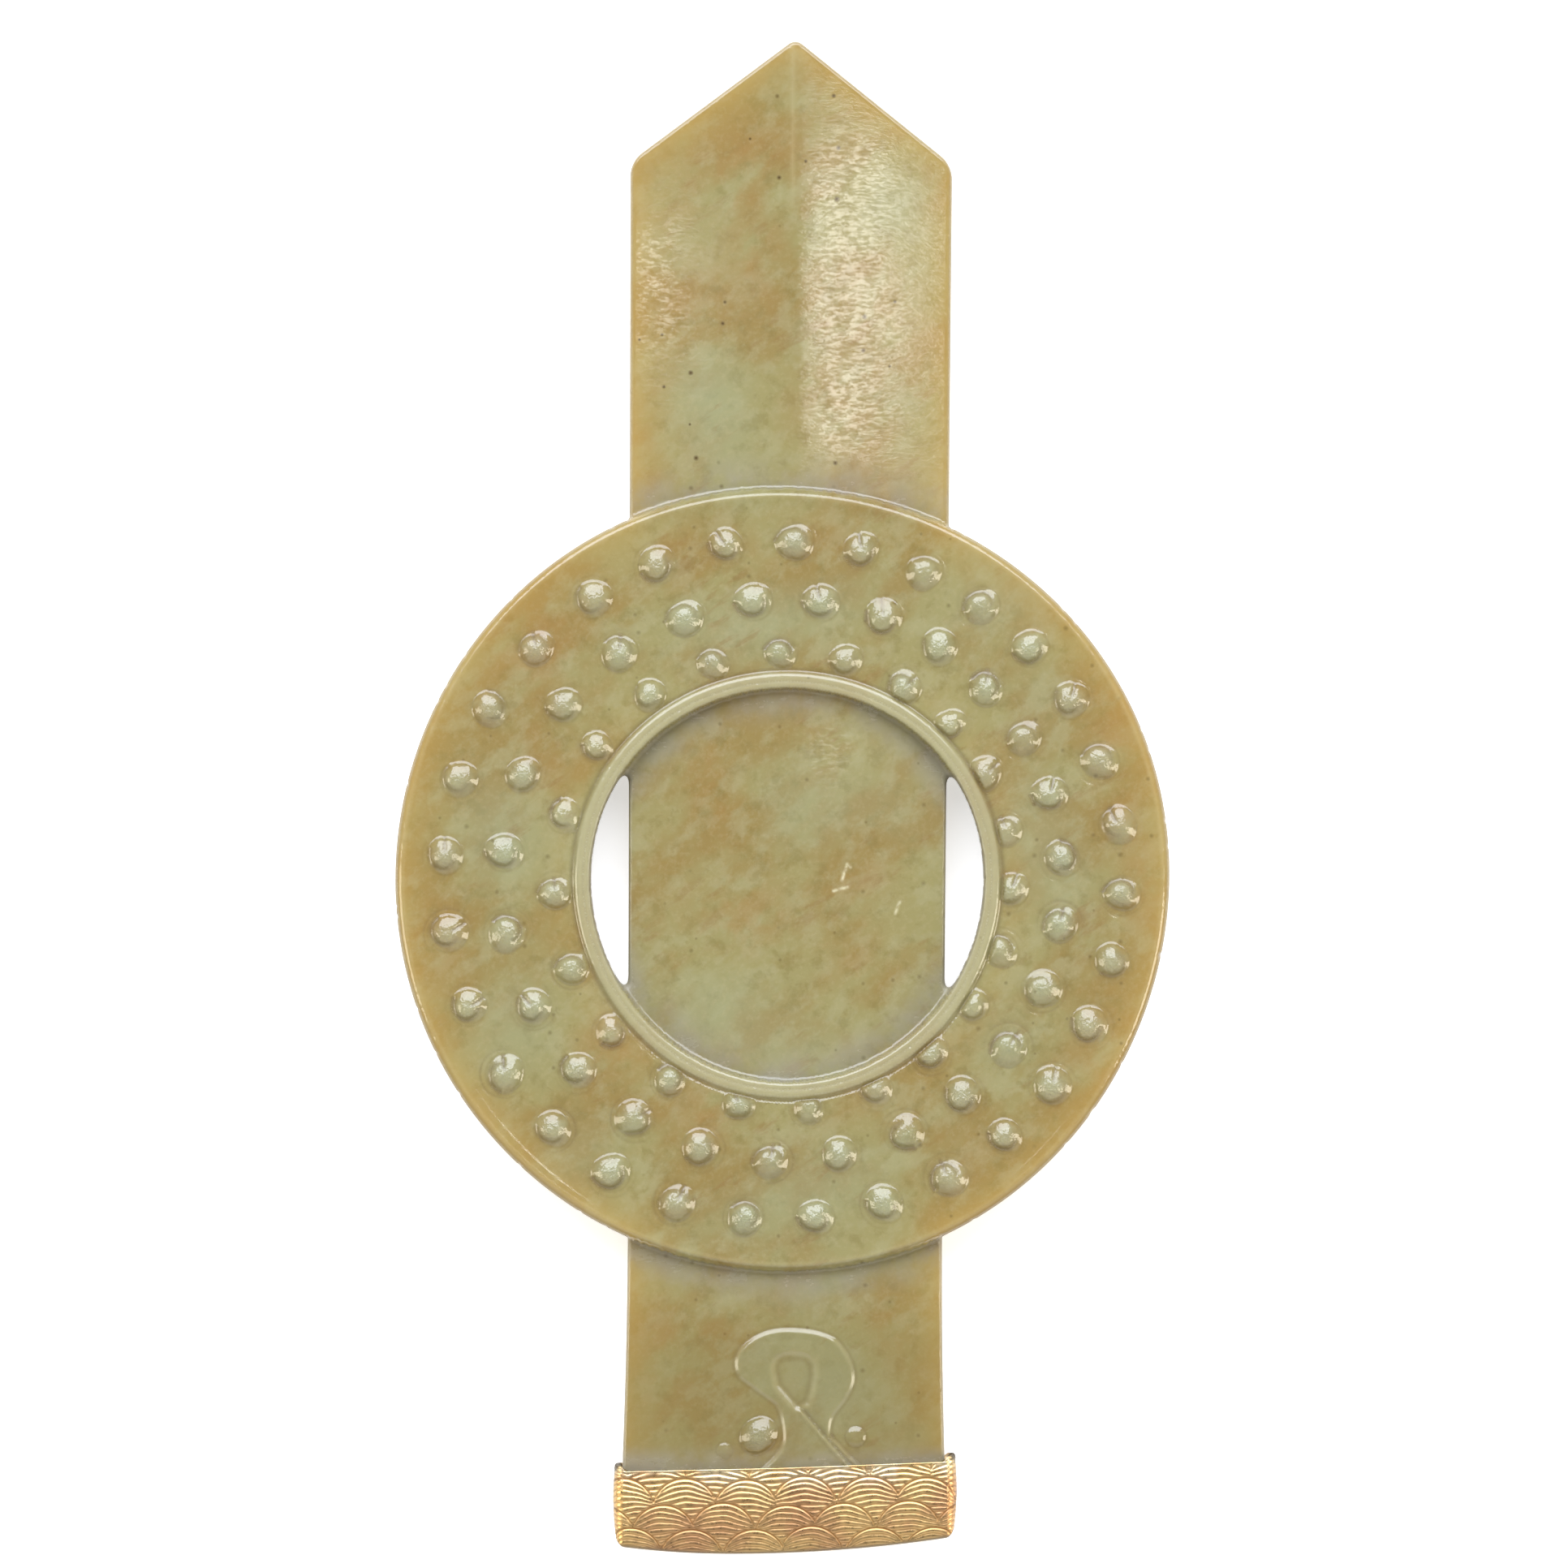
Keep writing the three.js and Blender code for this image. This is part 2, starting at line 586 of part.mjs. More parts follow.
const guiBi = new THREE.Group();
guiBi.add(namedMesh('jade_gui_bi', makeJade(), jade));
guiBi.add(namedMesh('gilt_end_cap', makeCap(), gilt));

export default guiBi;
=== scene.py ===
import math

import bpy
import numpy as np
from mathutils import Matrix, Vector
from mathutils.geometry import delaunay_2d_cdt


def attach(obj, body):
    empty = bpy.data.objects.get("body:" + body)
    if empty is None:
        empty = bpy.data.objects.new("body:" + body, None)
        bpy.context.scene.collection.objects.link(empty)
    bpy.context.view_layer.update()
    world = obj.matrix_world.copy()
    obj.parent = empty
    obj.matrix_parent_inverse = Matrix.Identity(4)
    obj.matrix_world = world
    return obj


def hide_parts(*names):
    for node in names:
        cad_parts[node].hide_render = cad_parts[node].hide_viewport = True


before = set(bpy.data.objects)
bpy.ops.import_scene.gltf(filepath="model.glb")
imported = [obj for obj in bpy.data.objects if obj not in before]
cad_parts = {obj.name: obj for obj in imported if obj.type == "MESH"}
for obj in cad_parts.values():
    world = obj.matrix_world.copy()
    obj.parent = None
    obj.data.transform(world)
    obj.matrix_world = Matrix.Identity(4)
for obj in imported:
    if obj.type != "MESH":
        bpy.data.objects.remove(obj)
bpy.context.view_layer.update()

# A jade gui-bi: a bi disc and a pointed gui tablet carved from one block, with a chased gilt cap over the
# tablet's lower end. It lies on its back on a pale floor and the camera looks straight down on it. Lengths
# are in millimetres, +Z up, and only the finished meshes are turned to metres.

MM = 0.001
SEED = 7

# The gui tablet
TOP_Y = 87.5
BOTTOM_Y = -87.5
TABLET_HALF_WIDTH = 18.2          # at its waist, just below the disc
TABLET_WAIST_Y = -50
TABLET_SHOULDER_GAIN = 0.43
TABLET_SHOULDER_Y = 73
TABLET_FOOT_GAIN = 0.43
TABLET_FOOT_Y = -76
TABLET_CENTRE_X = 0.6
TABLET_LEAN = 0.006
POINT_X = 1.54
POINT_Y = 87.83
POINT_RUN_LEFT = 1.35
POINT_RUN_RIGHT = 1.243
TABLET_BACK_Z = 1.5
RIDGE_Z = 6.7
RIDGE_X = 1.2
RIDGE_FALL = 0.038
RIDGE_SOFTNESS = 0.35             # the ridge is worn: this wide on each side
RIDGE_PALE_FROM = 66              # and pale from here to the point, rubbed and partly a painted highlight
TANG_END_Y = -84                  # the tablet's own lower end, hidden in the cap
SHOULDER_ROUND = 1.2
POINT_ROUND = 0.9
EDGE_ROUND = 0.42                 # all edges of the stone are a little rubbed

# The bi disc
DISC_X = 0
DISC_Y = -9.44
DISC_RADIUS = 45
DISC_OVAL = 0.24                  # cut by hand, it is a little taller than wide, with slight flats between
DISC_THREE_WAVE = 0.09
DISC_FOUR_WAVE = 0.09
FIELD_Z = 8.2                     # the sunk ground that carries the bosses
BACK_FIELD_Z = 0.35
LIP_CREST = 0.8                   # how far in from the disc's edge its raised line stands
LIP_HEIGHT = 0.17
LIP_FLAT = 0.1                    # its top is flat over this width
LIP_SLOPE = 1.7                   # width of the slope from the line down to the ground
LIP_BEVEL = 0.6                   # its outer side is cut off steeply over this width
LIP_BEVEL_DROP = 0.45

# The hole and the raised rim around it
HOLE_X = 0.56
HOLE_Y = -9.43
HOLE_RADIUS = 22.75
HOLE_SAG = 0.75
RIM_WIDTH = 1.9
RIM_HEIGHT = 0.35
RIM_SWELL = 0.3                   # share by which its top falls off from the middle to both sides
RIM_ROUND = 0.3
RIM_PALE_EDGE = 0.2               # its colour begins over this width
RIM_GROOVE_AT = 2.15              # the cut line outside the rim
RIM_GROOVE_WIDTH = 0.22
RIM_GROOVE_DEPTH = 0.13
RIM_LINE_AT = 0.85                # a fine line cut along the rim itself
RIM_LINE_WIDTH = 0.13
RIM_LINE_DEPTH = 0.1
SLIT_FILLET = 1.4                 # the slits' ends are round
OUTER_CORNER_FILLET = 0.2
BOSSES_FROM_LIP = (2.2, 2.8)      # the bosses fade in over this stretch from the disc's edge

# The three rings of bosses, counted clockwise from the first one at the top
BOSS_CENTRE_X = 0.09
BOSS_CENTRE_Y = -9.62
BOSS_RINGS = [
    {"radius": 39.2, "count": 30, "start": 92.4, "crowding": 3.8, "unevenness": 1, "size": 1},
    {"radius": 32.4, "count": 25, "start": 103.5, "crowding": 6.3, "unevenness": 1.3, "size": 1},
    {"radius": 26.4, "count": 21, "start": 98.2, "crowding": 7.4, "unevenness": 0.3, "size": 0.9},
]
BOSS_CROWDED_SIDE = 12
BOSS_UNEVEN_PHASE = 55
BOSS_RADIUS = 2.2
BOSS_HEIGHT = 0.92
BOSS_FULLNESS = 0.8               # 0.5 would be half a ball, 1 a low cone
BOSS_OVAL = 0.04                  # shares by which their outlines stray from a circle
BOSS_LOBES = 0.02
BOSS_SIZES = (0.93, 1.05)         # no two are quite alike
BOSS_HEIGHTS = (0.8, 1.05)
COMMA_DEPTH = 0.6                 # a line winds in from the foot and leaves a tail outside it
COMMA_WIDTH = 0.3
COMMA_REACH = 0.52                # how far in it comes, as a share of the radius
COMMA_TURN = math.radians(215)
COMMA_CURL = 0.7                  # below 1 it turns inwards soon and then more slowly
COMMA_START = (0.2, 0.8)          # where it begins, past the left: mean and spread in radians
COMMA_LEFT_HANDED = 0.35          # share of the bosses on which it winds the other way
COMMA_DEPTHS = (0.4, 1.1)
TAIL_DROP = 0.36
TAIL_WALL = (-0.05, 0.15)         # the tail drops between these shares of the radius outside the line
NOTCH_DEPTH = 0.3
NOTCH_WIDTH = 0.2
NOTCH_RISE = (0.1, 0.8)           # it deepens over this stretch from the middle
NOTCH_ANGLE = math.radians(80)    # and points about upwards
NOTCH_SPREAD = 0.5
NOTCHED = 0.35                    # share of the bosses that have one
NOTCH_DEPTHS = (0.5, 1)
FOOT_WIDTH = 0.13                 # the dull ring round each foot, out of the polish's reach, darkened with dirt and painted shade
CIRCLE_LINE_RADIUS = 2.75         # the thin line cut round many bosses
CIRCLE_LINE_WIDTH = 0.17
CIRCLE_LINE_DEPTH = 0.06
CIRCLE_LINE_DIRT_AND_SHADE = 0.6           # how dark these lines are with dirt and painted shade, beside 1 for the comma lines

# How far the dull film reaches from a wall, and the painted glow of light through the stone's thin edges
FILM_START = 0.6
FILM_END = 5
FILM_CAP_Y = -77
END_SHADE_Y = (-68, -52)           # painted shade below the first of these, and none above the second
SPECKS_ABOVE_Y = (34, 40)         # the specks show plainly above the disc
SPECKS_BELOW = 0.4                # and this much elsewhere
SPECK_MARGIN = (0.3, 0.6)         # there are none at the very edges
EDGE_GLOW = 2.4
EDGE_GLOW_FREE = 4                # nearer to the hole than this it fades out
GREY_BRINK_WIDTH = 0.28                # the unpolished brink of every edge, painted grey for the shade and dull reflection it shows
CREST_WIDTH = 0.22                # the pale line along every raised edge, left by handling and partly a painted highlight
WALL_HOLLOW = 0.25                # how far the wall's foot curves out, as a share of the wall's height
FILLET_HEIGHT = 0.75              # and how high it comes, as a share of that
LEAST_WALL = 0.2
NEAR_DISC_EDGE = 5                # nearer than this, the wall is the disc's own and not the rim's
BACK_LIP = (1.4, 1.9)             # the back's outer rim ends over this stretch from the disc's edge
GROOVE_DIRT_AND_SHADE = 0.6
LIP_CREST_SHARE = 0.5
RIDGE_CREST_SHARE = 0.6
RIBBON_COOLNESS = 0.5             # the scroll's ribbon is cooler than the stone round it

# The scroll on the tablet's lower end
SCROLL_END_Y = -79
SCROLL_HEIGHT = 0.24
SCROLL_EDGE = 0.5                 # its edges rise over this width
SCROLL_HOLE_SOFTNESS = 0.6        # those round its hole more gently
SCROLL_HOLLOW = 0.35              # share by which the ribbon dips between its edges
SCROLL_HOLLOW_FULL = 3.5          # and this many edge widths in, the dip is full
SCROLL_EDGE_DIRT_AND_SHADE = 0.5
# the cut beside the crossing is painted dark as its shadow
CROSSING_PAINTED_SHADOW = 0.7
CROSSING_SINK_WIDTH = 1.6
CROSSING_BEAD = 0.12              # where the ribbon crosses itself: a raised edge, and a cut beside it
CROSSING_CUT = 0.2
CROSSING_WIDTH = 0.2
CROSSING_SINK = 0.14              # the branch below sinks this much towards the crossing
SCROLL_PIT = {"x": 5.8, "y": -73.9, "radius": 0.32, "depth": 0.3}
NUBS = [
    {"x": -2.75, "y": -73.85, "radius": 2.15, "height": 0.75, "oval": 0.09},
    {"x": 8.5, "y": -74.0, "radius": 1.2, "height": 0.28, "oval": 0},
    {"x": -6.7, "y": -75.6, "radius": 0.95, "height": 0.16, "oval": 0},
]
NUB_LEAN = math.radians(45)


# Small tools for shapes

def slope_between(value, low, high):
    """0 below low and 1 above high, with a smooth slope between."""
    t = np.clip((value - low) / (high - low), 0, 1)
    return t * t * (3 - 2 * t)


def ridge_line(distance, width):
    """1 on a line, falling smoothly to nearly 0 at twice the width."""
    return np.exp(-(distance / width) ** 2)


def into_corner(a, b, radius):
    """How far a point lies into the rounded corner of two forms."""
    return np.hypot(np.maximum(radius + a, 0), np.maximum(radius + b, 0))


def meet(a, b, radius):
    """Distance inside two forms that are cut by each other, the edge between them rounded."""
    return np.maximum(radius, np.minimum(a, b)) - into_corner(-a, -b, radius)


def join(a, b, radius):
    """Distance inside two forms grown together, the corner between them filled to a round."""
    return np.minimum(-radius, np.maximum(a, b)) + into_corner(a, b, radius)


def round_over(inside, radius):
    """How far a surface drops towards a rounded edge, at a distance inside it."""
    near = np.clip(radius - inside, 0, radius)
    return radius - np.sqrt(np.maximum(radius * radius - near * near, 0))


# The plan of the stone, seen from the front. Each function gives the distance inside, in mm.

def tablet_sides(y):
    """Where the tablet's left and right sides stand at this height of the plan."""
    middle = TABLET_CENTRE_X + TABLET_LEAN * y
    up = np.clip((y - TABLET_WAIST_Y) / (TABLET_SHOULDER_Y - TABLET_WAIST_Y), 0, 1)
    down = np.clip((TABLET_WAIST_Y - y) / (TABLET_WAIST_Y - TABLET_FOOT_Y), 0, 1)
    half = TABLET_HALF_WIDTH + TABLET_SHOULDER_GAIN * up + TABLET_FOOT_GAIN * down * down
    return middle - half, middle + half


def inside_tablet(x, y):
    left, right = tablet_sides(y)
    below = POINT_Y - y
    slope_left = (x - POINT_X + POINT_RUN_LEFT * below) / math.hypot(1, POINT_RUN_LEFT)
    slope_right = (POINT_X + POINT_RUN_RIGHT * below - x) / math.hypot(1, POINT_RUN_RIGHT)
    point = meet(slope_left, slope_right, POINT_ROUND)
    body = np.minimum(np.minimum(x - left, right - x), y - TANG_END_Y)
    return meet(body, point, SHOULDER_ROUND)


def inside_disc_edge(x, y):
    dx, dy = x - DISC_X, y - DISC_Y
    angle = np.arctan2(dy, dx)
    wave = (-DISC_OVAL * np.cos(2 * angle) + DISC_THREE_WAVE * np.sin(3 * angle)
            + DISC_FOUR_WAVE * np.sin(4 * angle))
    return DISC_RADIUS + wave - np.hypot(dx, dy)


def outside_hole_edge(x, y):
    dx, dy = x - HOLE_X, y - HOLE_Y
    reach = np.maximum(np.hypot(dx, dy), 1e-6)
    return reach - (HOLE_RADIUS - HOLE_SAG * (dy / reach) ** 3)


def inside_ring(x, y):
    return np.minimum(inside_disc_edge(x, y), outside_hole_edge(x, y))


def inside_stone(x, y):
    ring = inside_ring(x, y)
    fillet = np.where(np.hypot(x - HOLE_X, y - HOLE_Y) < (HOLE_RADIUS + DISC_RADIUS) / 2,
                      SLIT_FILLET, OUTER_CORNER_FILLET)
    return join(ring, inside_tablet(x, y), fillet)


# The carving

def boss_places():
    """Every boss with its place and the small differences that come from cutting each by hand."""
    rng = np.random.default_rng(SEED)
    places = []
    for ring in BOSS_RINGS:
        for i in range(ring["count"]):
            even = ring["start"] - i * 360 / ring["count"]
            angle = (even - ring["crowding"] * math.sin(math.radians(even - BOSS_CROWDED_SIDE))
                     + ring["unevenness"] * math.cos(math.radians(2 * even - BOSS_UNEVEN_PHASE)))
            angle = math.radians(angle)
            y = BOSS_CENTRE_Y + ring["radius"] * math.sin(angle)
            lower = 1 if y < BOSS_CENTRE_Y else 0
            places.append({
                "x": BOSS_CENTRE_X + ring["radius"] * math.cos(angle),
                "y": y,
                "size": ring["size"] * rng.uniform(*BOSS_SIZES),
                "height": rng.uniform(*BOSS_HEIGHTS),
                "turn": math.pi + rng.normal(*COMMA_START),
                "way": rng.choice([-1, 1], p=[COMMA_LEFT_HANDED, 1 - COMMA_LEFT_HANDED]),
                "comma": rng.uniform(*COMMA_DEPTHS),
                "notch_angle": NOTCH_ANGLE + rng.normal(0, NOTCH_SPREAD),
                "notch_depth": rng.choice([0, 1], p=[1 - NOTCHED, NOTCHED]) * rng.uniform(*NOTCH_DEPTHS),
                "circle_depth": (0.35 + 0.55 * lower) * rng.uniform(0.3, 1.1),
                "circle_gap": rng.uniform(-math.pi, math.pi),
            })
    return places


BOSSES = boss_places()


def nearest_boss(x, y):
    """For each point the distances to its nearest boss, and one array of each of that boss's values."""
    xs = np.array([b["x"] for b in BOSSES])
    ys = np.array([b["y"] for b in BOSSES])
    best = np.full(len(x), np.inf)
    which = np.zeros(len(x), int)
    for i, (bx, by) in enumerate(zip(xs, ys)):
        d = np.hypot(x - bx, y - by)
        closer = d < best
        best[closer] = d[closer]
        which[closer] = i
    values = {key: np.array([b[key] for b in BOSSES])[which] for key in BOSSES[0]}
    return x - xs[which], y - ys[which], values


def boss_relief(x, y):
    """Height of the bosses over the ground, with their cut lines, domes and feet."""
    u, v, boss = nearest_boss(x, y)
    reach = np.hypot(u, v)
    angle = np.arctan2(v, u)
    uneven = (1 + BOSS_OVAL * np.cos(2 * (angle - 3 * boss["turn"]))
              + BOSS_LOBES * np.cos(3 * angle + 5 * boss["turn"]))
    full = BOSS_RADIUS * boss["size"] * uneven
    share = reach / full
    on_boss = share < 1
    dome = BOSS_HEIGHT * boss["height"] * np.clip(1 - share ** 2, 0, 1) ** BOSS_FULLNESS

    # The comma line, ever shallower as it winds in, and the lower tail outside it
    along = boss["way"] * (angle - boss["turn"]) % (2 * math.pi) / COMMA_TURN
    path = 1 - (1 - COMMA_REACH) * np.clip(along, 0, 1) ** COMMA_CURL
    depth = boss["comma"] * np.sqrt(np.clip(1 - along, 0, 1))
    comma = depth * ridge_line((share - path) * full, COMMA_WIDTH)
    tail = depth * slope_between(share - path, *TAIL_WALL) * on_boss

    # Some bosses have a short straight cut down into the head
    across = u * np.sin(boss["notch_angle"]) - v * np.cos(boss["notch_angle"])
    down = u * np.cos(boss["notch_angle"]) + v * np.sin(boss["notch_angle"])
    notch = boss["notch_depth"] * ridge_line(across, NOTCH_WIDTH)
    notch = notch * slope_between(down, *NOTCH_RISE) * on_boss

    faded = 0.5 + 0.5 * np.cos(angle - boss["circle_gap"])
    circle = ridge_line(reach - CIRCLE_LINE_RADIUS * boss["size"], CIRCLE_LINE_WIDTH)
    circle = boss["circle_depth"] * faded * circle

    cut = COMMA_DEPTH * comma + TAIL_DROP * tail + NOTCH_DEPTH * notch
    height = dome - np.minimum(cut, dome) - CIRCLE_LINE_DEPTH * circle
    # The cut lines are darkened with dirt and painted shade
    lines = np.clip(comma + notch + CIRCLE_LINE_DIRT_AND_SHADE * circle, 0, 1)
    return height, lines, np.clip(dome / BOSS_HEIGHT, 0, 1), ridge_line(reach - full, FOOT_WIDTH)


def curve_points(points, steps=8):
    """Plain points along straight and curved strokes: a pair is a corner, a four a bend and its end."""
    made = [points[0]]
    for stroke in points[1:]:
        start = made[-1]
        if len(stroke) == 2:
            made.append(stroke)
            continue
        bx, by, ex, ey = stroke
        for i in range(1, steps + 1):
            t = i / steps
            made.append(((1 - t) ** 2 * start[0] + 2 * t * (1 - t) * bx + t * t * ex,
                         (1 - t) ** 2 * start[1] + 2 * t * (1 - t) * by + t * t * ey))
    return np.array(made)


SCROLL_LOOP = curve_points([
    (-4.4, SCROLL_END_Y), (0.3, -76, 0.05, -73.8), (-0.1, -71.2, -1, -70.2), (-5, -67.3),
    (-6.3, -65.2, -4.6, -63.4), (-2.6, -61.4, 0.6, -61.4), (4.2, -61.4, 6.2, -62.6),
    (8.6, -65, 8.4, -67.6), (7.9, -69.4, 6.3, -71.2), (5.5, -72.2, 5.6, -73.9), (6.75, -75),
    (10.5, SCROLL_END_Y),
])
SCROLL_HOLE = curve_points([
    (-0.75, -66.1), (-0.4, -67.95), (1.75, -70.4), (2.75, -69.9), (3.7, -67, 3.4, -65.7),
    (3, -64.7, 1.3, -64.7), (-0.7, -64.7, -0.75, -66.1),
])
SCROLL_CROSSING = curve_points([(-0.75, -66.1), (-0.4, -67.95), (5.4, -74.6), (9.3, SCROLL_END_Y)])


def inside_outline(x, y, outline):
    """Distance inside a closed outline, negative outside it."""
    nearest = np.full(len(x), np.inf)
    inside = np.zeros(len(x), bool)
    for (ax, ay), (bx, by) in zip(outline, np.roll(outline, -1, axis=0)):
        ex, ey = bx - ax, by - ay
        length = ex * ex + ey * ey
        if length == 0:
            continue
        t = np.clip(((x - ax) * ex + (y - ay) * ey) / length, 0, 1)
        nearest = np.minimum(nearest, np.hypot(x - ax - t * ex, y - ay - t * ey))
        crosses = (ay > y) != (by > y)
        inside ^= crosses & (x < ax + (y - ay) * ex / (ey if ey else 1))
    return np.where(inside, nearest, -nearest)


def ribbon_height(inside):
    """A ribbon's section: edges that rise steeply, with a shallow hollow between them."""
    rise = slope_between(inside, -0.05, SCROLL_EDGE)
    return rise * (1 - SCROLL_HOLLOW * slope_between(inside, SCROLL_EDGE, SCROLL_HOLLOW_FULL * SCROLL_EDGE))


def beside_line(x, y, line):
    """Distance from a line, positive on its left and negative on its right."""
    nearest = np.full(len(x), np.inf)
    side = np.ones(len(x))
    for (ax, ay), (bx, by) in zip(line[:-1], line[1:]):
        ex, ey = bx - ax, by - ay
        t = np.clip(((x - ax) * ex + (y - ay) * ey) / (ex * ex + ey * ey), 0, 1)
        reach = np.hypot(x - ax - t * ex, y - ay - t * ey)
        closer = reach < nearest
        nearest[closer] = reach[closer]
        side[closer] = np.sign(ex * (y - ay) - ey * (x - ax))[closer]
    return nearest * side


def scroll_relief(x, y):
    """Height of the scroll and its nubs over the tablet, with their lines, domes, crests and the ribbon."""
    in_hole = SCROLL_HOLE_SOFTNESS * inside_outline(x, y, SCROLL_HOLE)
    loop = np.minimum(inside_outline(x, y, SCROLL_LOOP), -in_hole)
    on_ribbon = slope_between(loop, 0, SCROLL_EDGE)
    beside = beside_line(x, y, SCROLL_CROSSING)
    bead = ridge_line(beside + CROSSING_WIDTH, CROSSING_WIDTH) * on_ribbon
    cut = ridge_line(beside - CROSSING_WIDTH, CROSSING_WIDTH) * on_ribbon
    sink = slope_between(beside, CROSSING_SINK_WIDTH, 0) * (beside > 0) * on_ribbon
    height = (SCROLL_HEIGHT * ribbon_height(loop) + CROSSING_BEAD * bead - CROSSING_CUT * cut
              - CROSSING_SINK * sink)
    pit = ridge_line(np.hypot(x - SCROLL_PIT["x"], y - SCROLL_PIT["y"]), SCROLL_PIT["radius"])
    height = height - SCROLL_PIT["depth"] * pit
    # Darker at the foot of the ribbon's edges and in the pit, with dirt and painted shade, and in the
    # crossing's cut as its painted shadow
    lines = SCROLL_EDGE_DIRT_AND_SHADE * ridge_line(loop + 0.12, 0.18) + CROSSING_PAINTED_SHADOW * cut + pit
    domes = np.zeros(len(x))
    for nub in NUBS:
        u, v = x - nub["x"], y - nub["y"]
        oval = 1 + nub["oval"] * np.cos(2 * (np.arctan2(v, u) - NUB_LEAN))
        share = np.hypot(u, v) / (nub["radius"] * oval)
        dome = np.clip(1 - share ** 2, 0, 1) ** BOSS_FULLNESS
        height = np.maximum(height, nub["height"] * dome)
        domes = np.maximum(domes, dome * nub["height"] / NUBS[0]["height"])
        # and a dark ring at each nub's foot, dirt and painted shade
        lines = lines + 0.5 * ridge_line((share - 1.05) * nub["radius"], FOOT_WIDTH)
    # pale crests along the ribbon's edges and the crossing's bead: wear and a painted highlight
    crests = 0.5 * np.maximum(ridge_line(loop - SCROLL_EDGE / 2, CREST_WIDTH), bead)
    return height, np.clip(lines, 0, 1), domes, crests, on_ribbon


def hand_waviness(x, y):
    """Faint rises and dips left by grinding and polishing by hand."""
    return (0.022 * np.sin(x / 3.1 + 0.7 * np.sin(y / 7.3)) + 0.02 * np.sin(y / 4.3 + 1.1 * np.sin(x / 8.9))
            + 0.012 * np.sin((x + y) / 2.2))


def tablet_front(x, y):
    off = x - RIDGE_X
    crest = np.sqrt(off * off + RIDGE_SOFTNESS ** 2) - RIDGE_SOFTNESS
    return RIDGE_Z - RIDGE_FALL * crest + 0.1 * hand_waviness(x, y)


def ring_front(x, y):
    """The disc's face: ground, outer lip, inner rim and the cut line beside it, without the bosses."""
    edge = inside_disc_edge(x, y)
    hole = outside_hole_edge(x, y)
    outer_side = np.clip(edge / LIP_CREST, 0, 1) ** 0.8
    inner_side = np.clip(1 - (edge - LIP_CREST - LIP_FLAT) / LIP_SLOPE, 0, 1) ** 1.6
    lip = LIP_HEIGHT * np.minimum(outer_side, inner_side)
    swell = 1 - RIM_SWELL * ((hole - RIM_WIDTH / 2) / (RIM_WIDTH / 2)) ** 2
    rim = RIM_HEIGHT * swell * (1 - slope_between(hole, RIM_WIDTH - 0.25, RIM_WIDTH + 0.15))
    groove = RIM_GROOVE_DEPTH * ridge_line(hole - RIM_GROOVE_AT, RIM_GROOVE_WIDTH)
    drop = LIP_BEVEL_DROP * np.clip(1 - edge / LIP_BEVEL, 0, 1) + round_over(hole, RIM_ROUND)
    line = RIM_LINE_DEPTH * ridge_line(hole - RIM_LINE_AT, RIM_LINE_WIDTH)
    return FIELD_Z + lip + rim - groove - line - drop + 0.4 * hand_waviness(x, y)


def fillet_height(outside, full):
    """Height of the hollow curve at a wall's foot, which begins at the full distance outside the wall."""
    near = np.clip(full - outside, 0, full)
    return FILLET_HEIGHT * full * (near / full) ** 3


def dull_film(from_wall, y):
    """1 in the corners that the wheel couldn't polish: along the disc's wall and above the cap."""
    wall = 1 - slope_between(from_wall, FILM_START, FILM_END)
    above_cap = 1 - slope_between(y, FILM_CAP_Y, FILM_CAP_Y + FILM_END / 2)
    return np.maximum(wall, above_cap)


def painted_end_shade(y):
    """1 on the tablet's lower end, which is painted darker as shade."""
    return 1 - slope_between(y, *END_SHADE_Y)


def specked(inside, y):
    """1 where dark specks show plainly, on the tablet above the disc, and less elsewhere on the faces."""
    plainly = SPECKS_BELOW + (1 - SPECKS_BELOW) * slope_between(y, *SPECKS_ABOVE_Y)
    return slope_between(inside, *SPECK_MARGIN) * plainly


def on_rim(hole):
    """1 on the raised rim round the hole, which is paler than the rest."""
    ends = 1 - slope_between(hole, RIM_WIDTH - 0.3, RIM_WIDTH + 0.1)
    return slope_between(hole, 0, RIM_PALE_EDGE) * ends


# What the finish reads at each point of the stone, 0 to 1
CARVED_VALUES = ("lines", "film", "dome", "foot", "crest", "painted_grey_brink", "rim", "edge", "warm", "cool", "deep",
                 "specked", "scratch")


def finish_of_both_faces(x, y):
    """The values that the front and the back have alike, with 0 for those of the carving."""
    inside = inside_stone(x, y)
    ring = inside_ring(x, y)
    hole = outside_hole_edge(x, y)
    warmth = stone_warmth(x, y)
    values = {key: np.zeros(len(x)) for key in CARVED_VALUES}
    values["film"] = np.where(ring > 0, 0, dull_film(-ring, y))
    # A grey brink along every edge: painted shade and dull reflection
    values["painted_grey_brink"] = ridge_line(inside, GREY_BRINK_WIDTH)
    values["rim"] = (ring > 0) * on_rim(hole)
    # A painted glow, warm near every edge, for light shining through the thin stone
    values["edge"] = np.exp(-inside / EDGE_GLOW) * slope_between(hole, EDGE_GLOW_FREE / 2, EDGE_GLOW_FREE)
    values["warm"] = np.maximum(warmth, 0)
    values["cool"] = np.maximum(-warmth, 0)
    # painted shade on the tablet's lower end
    values["deep"] = painted_end_shade(y)
    values["specked"] = specked(inside, y)
    return values


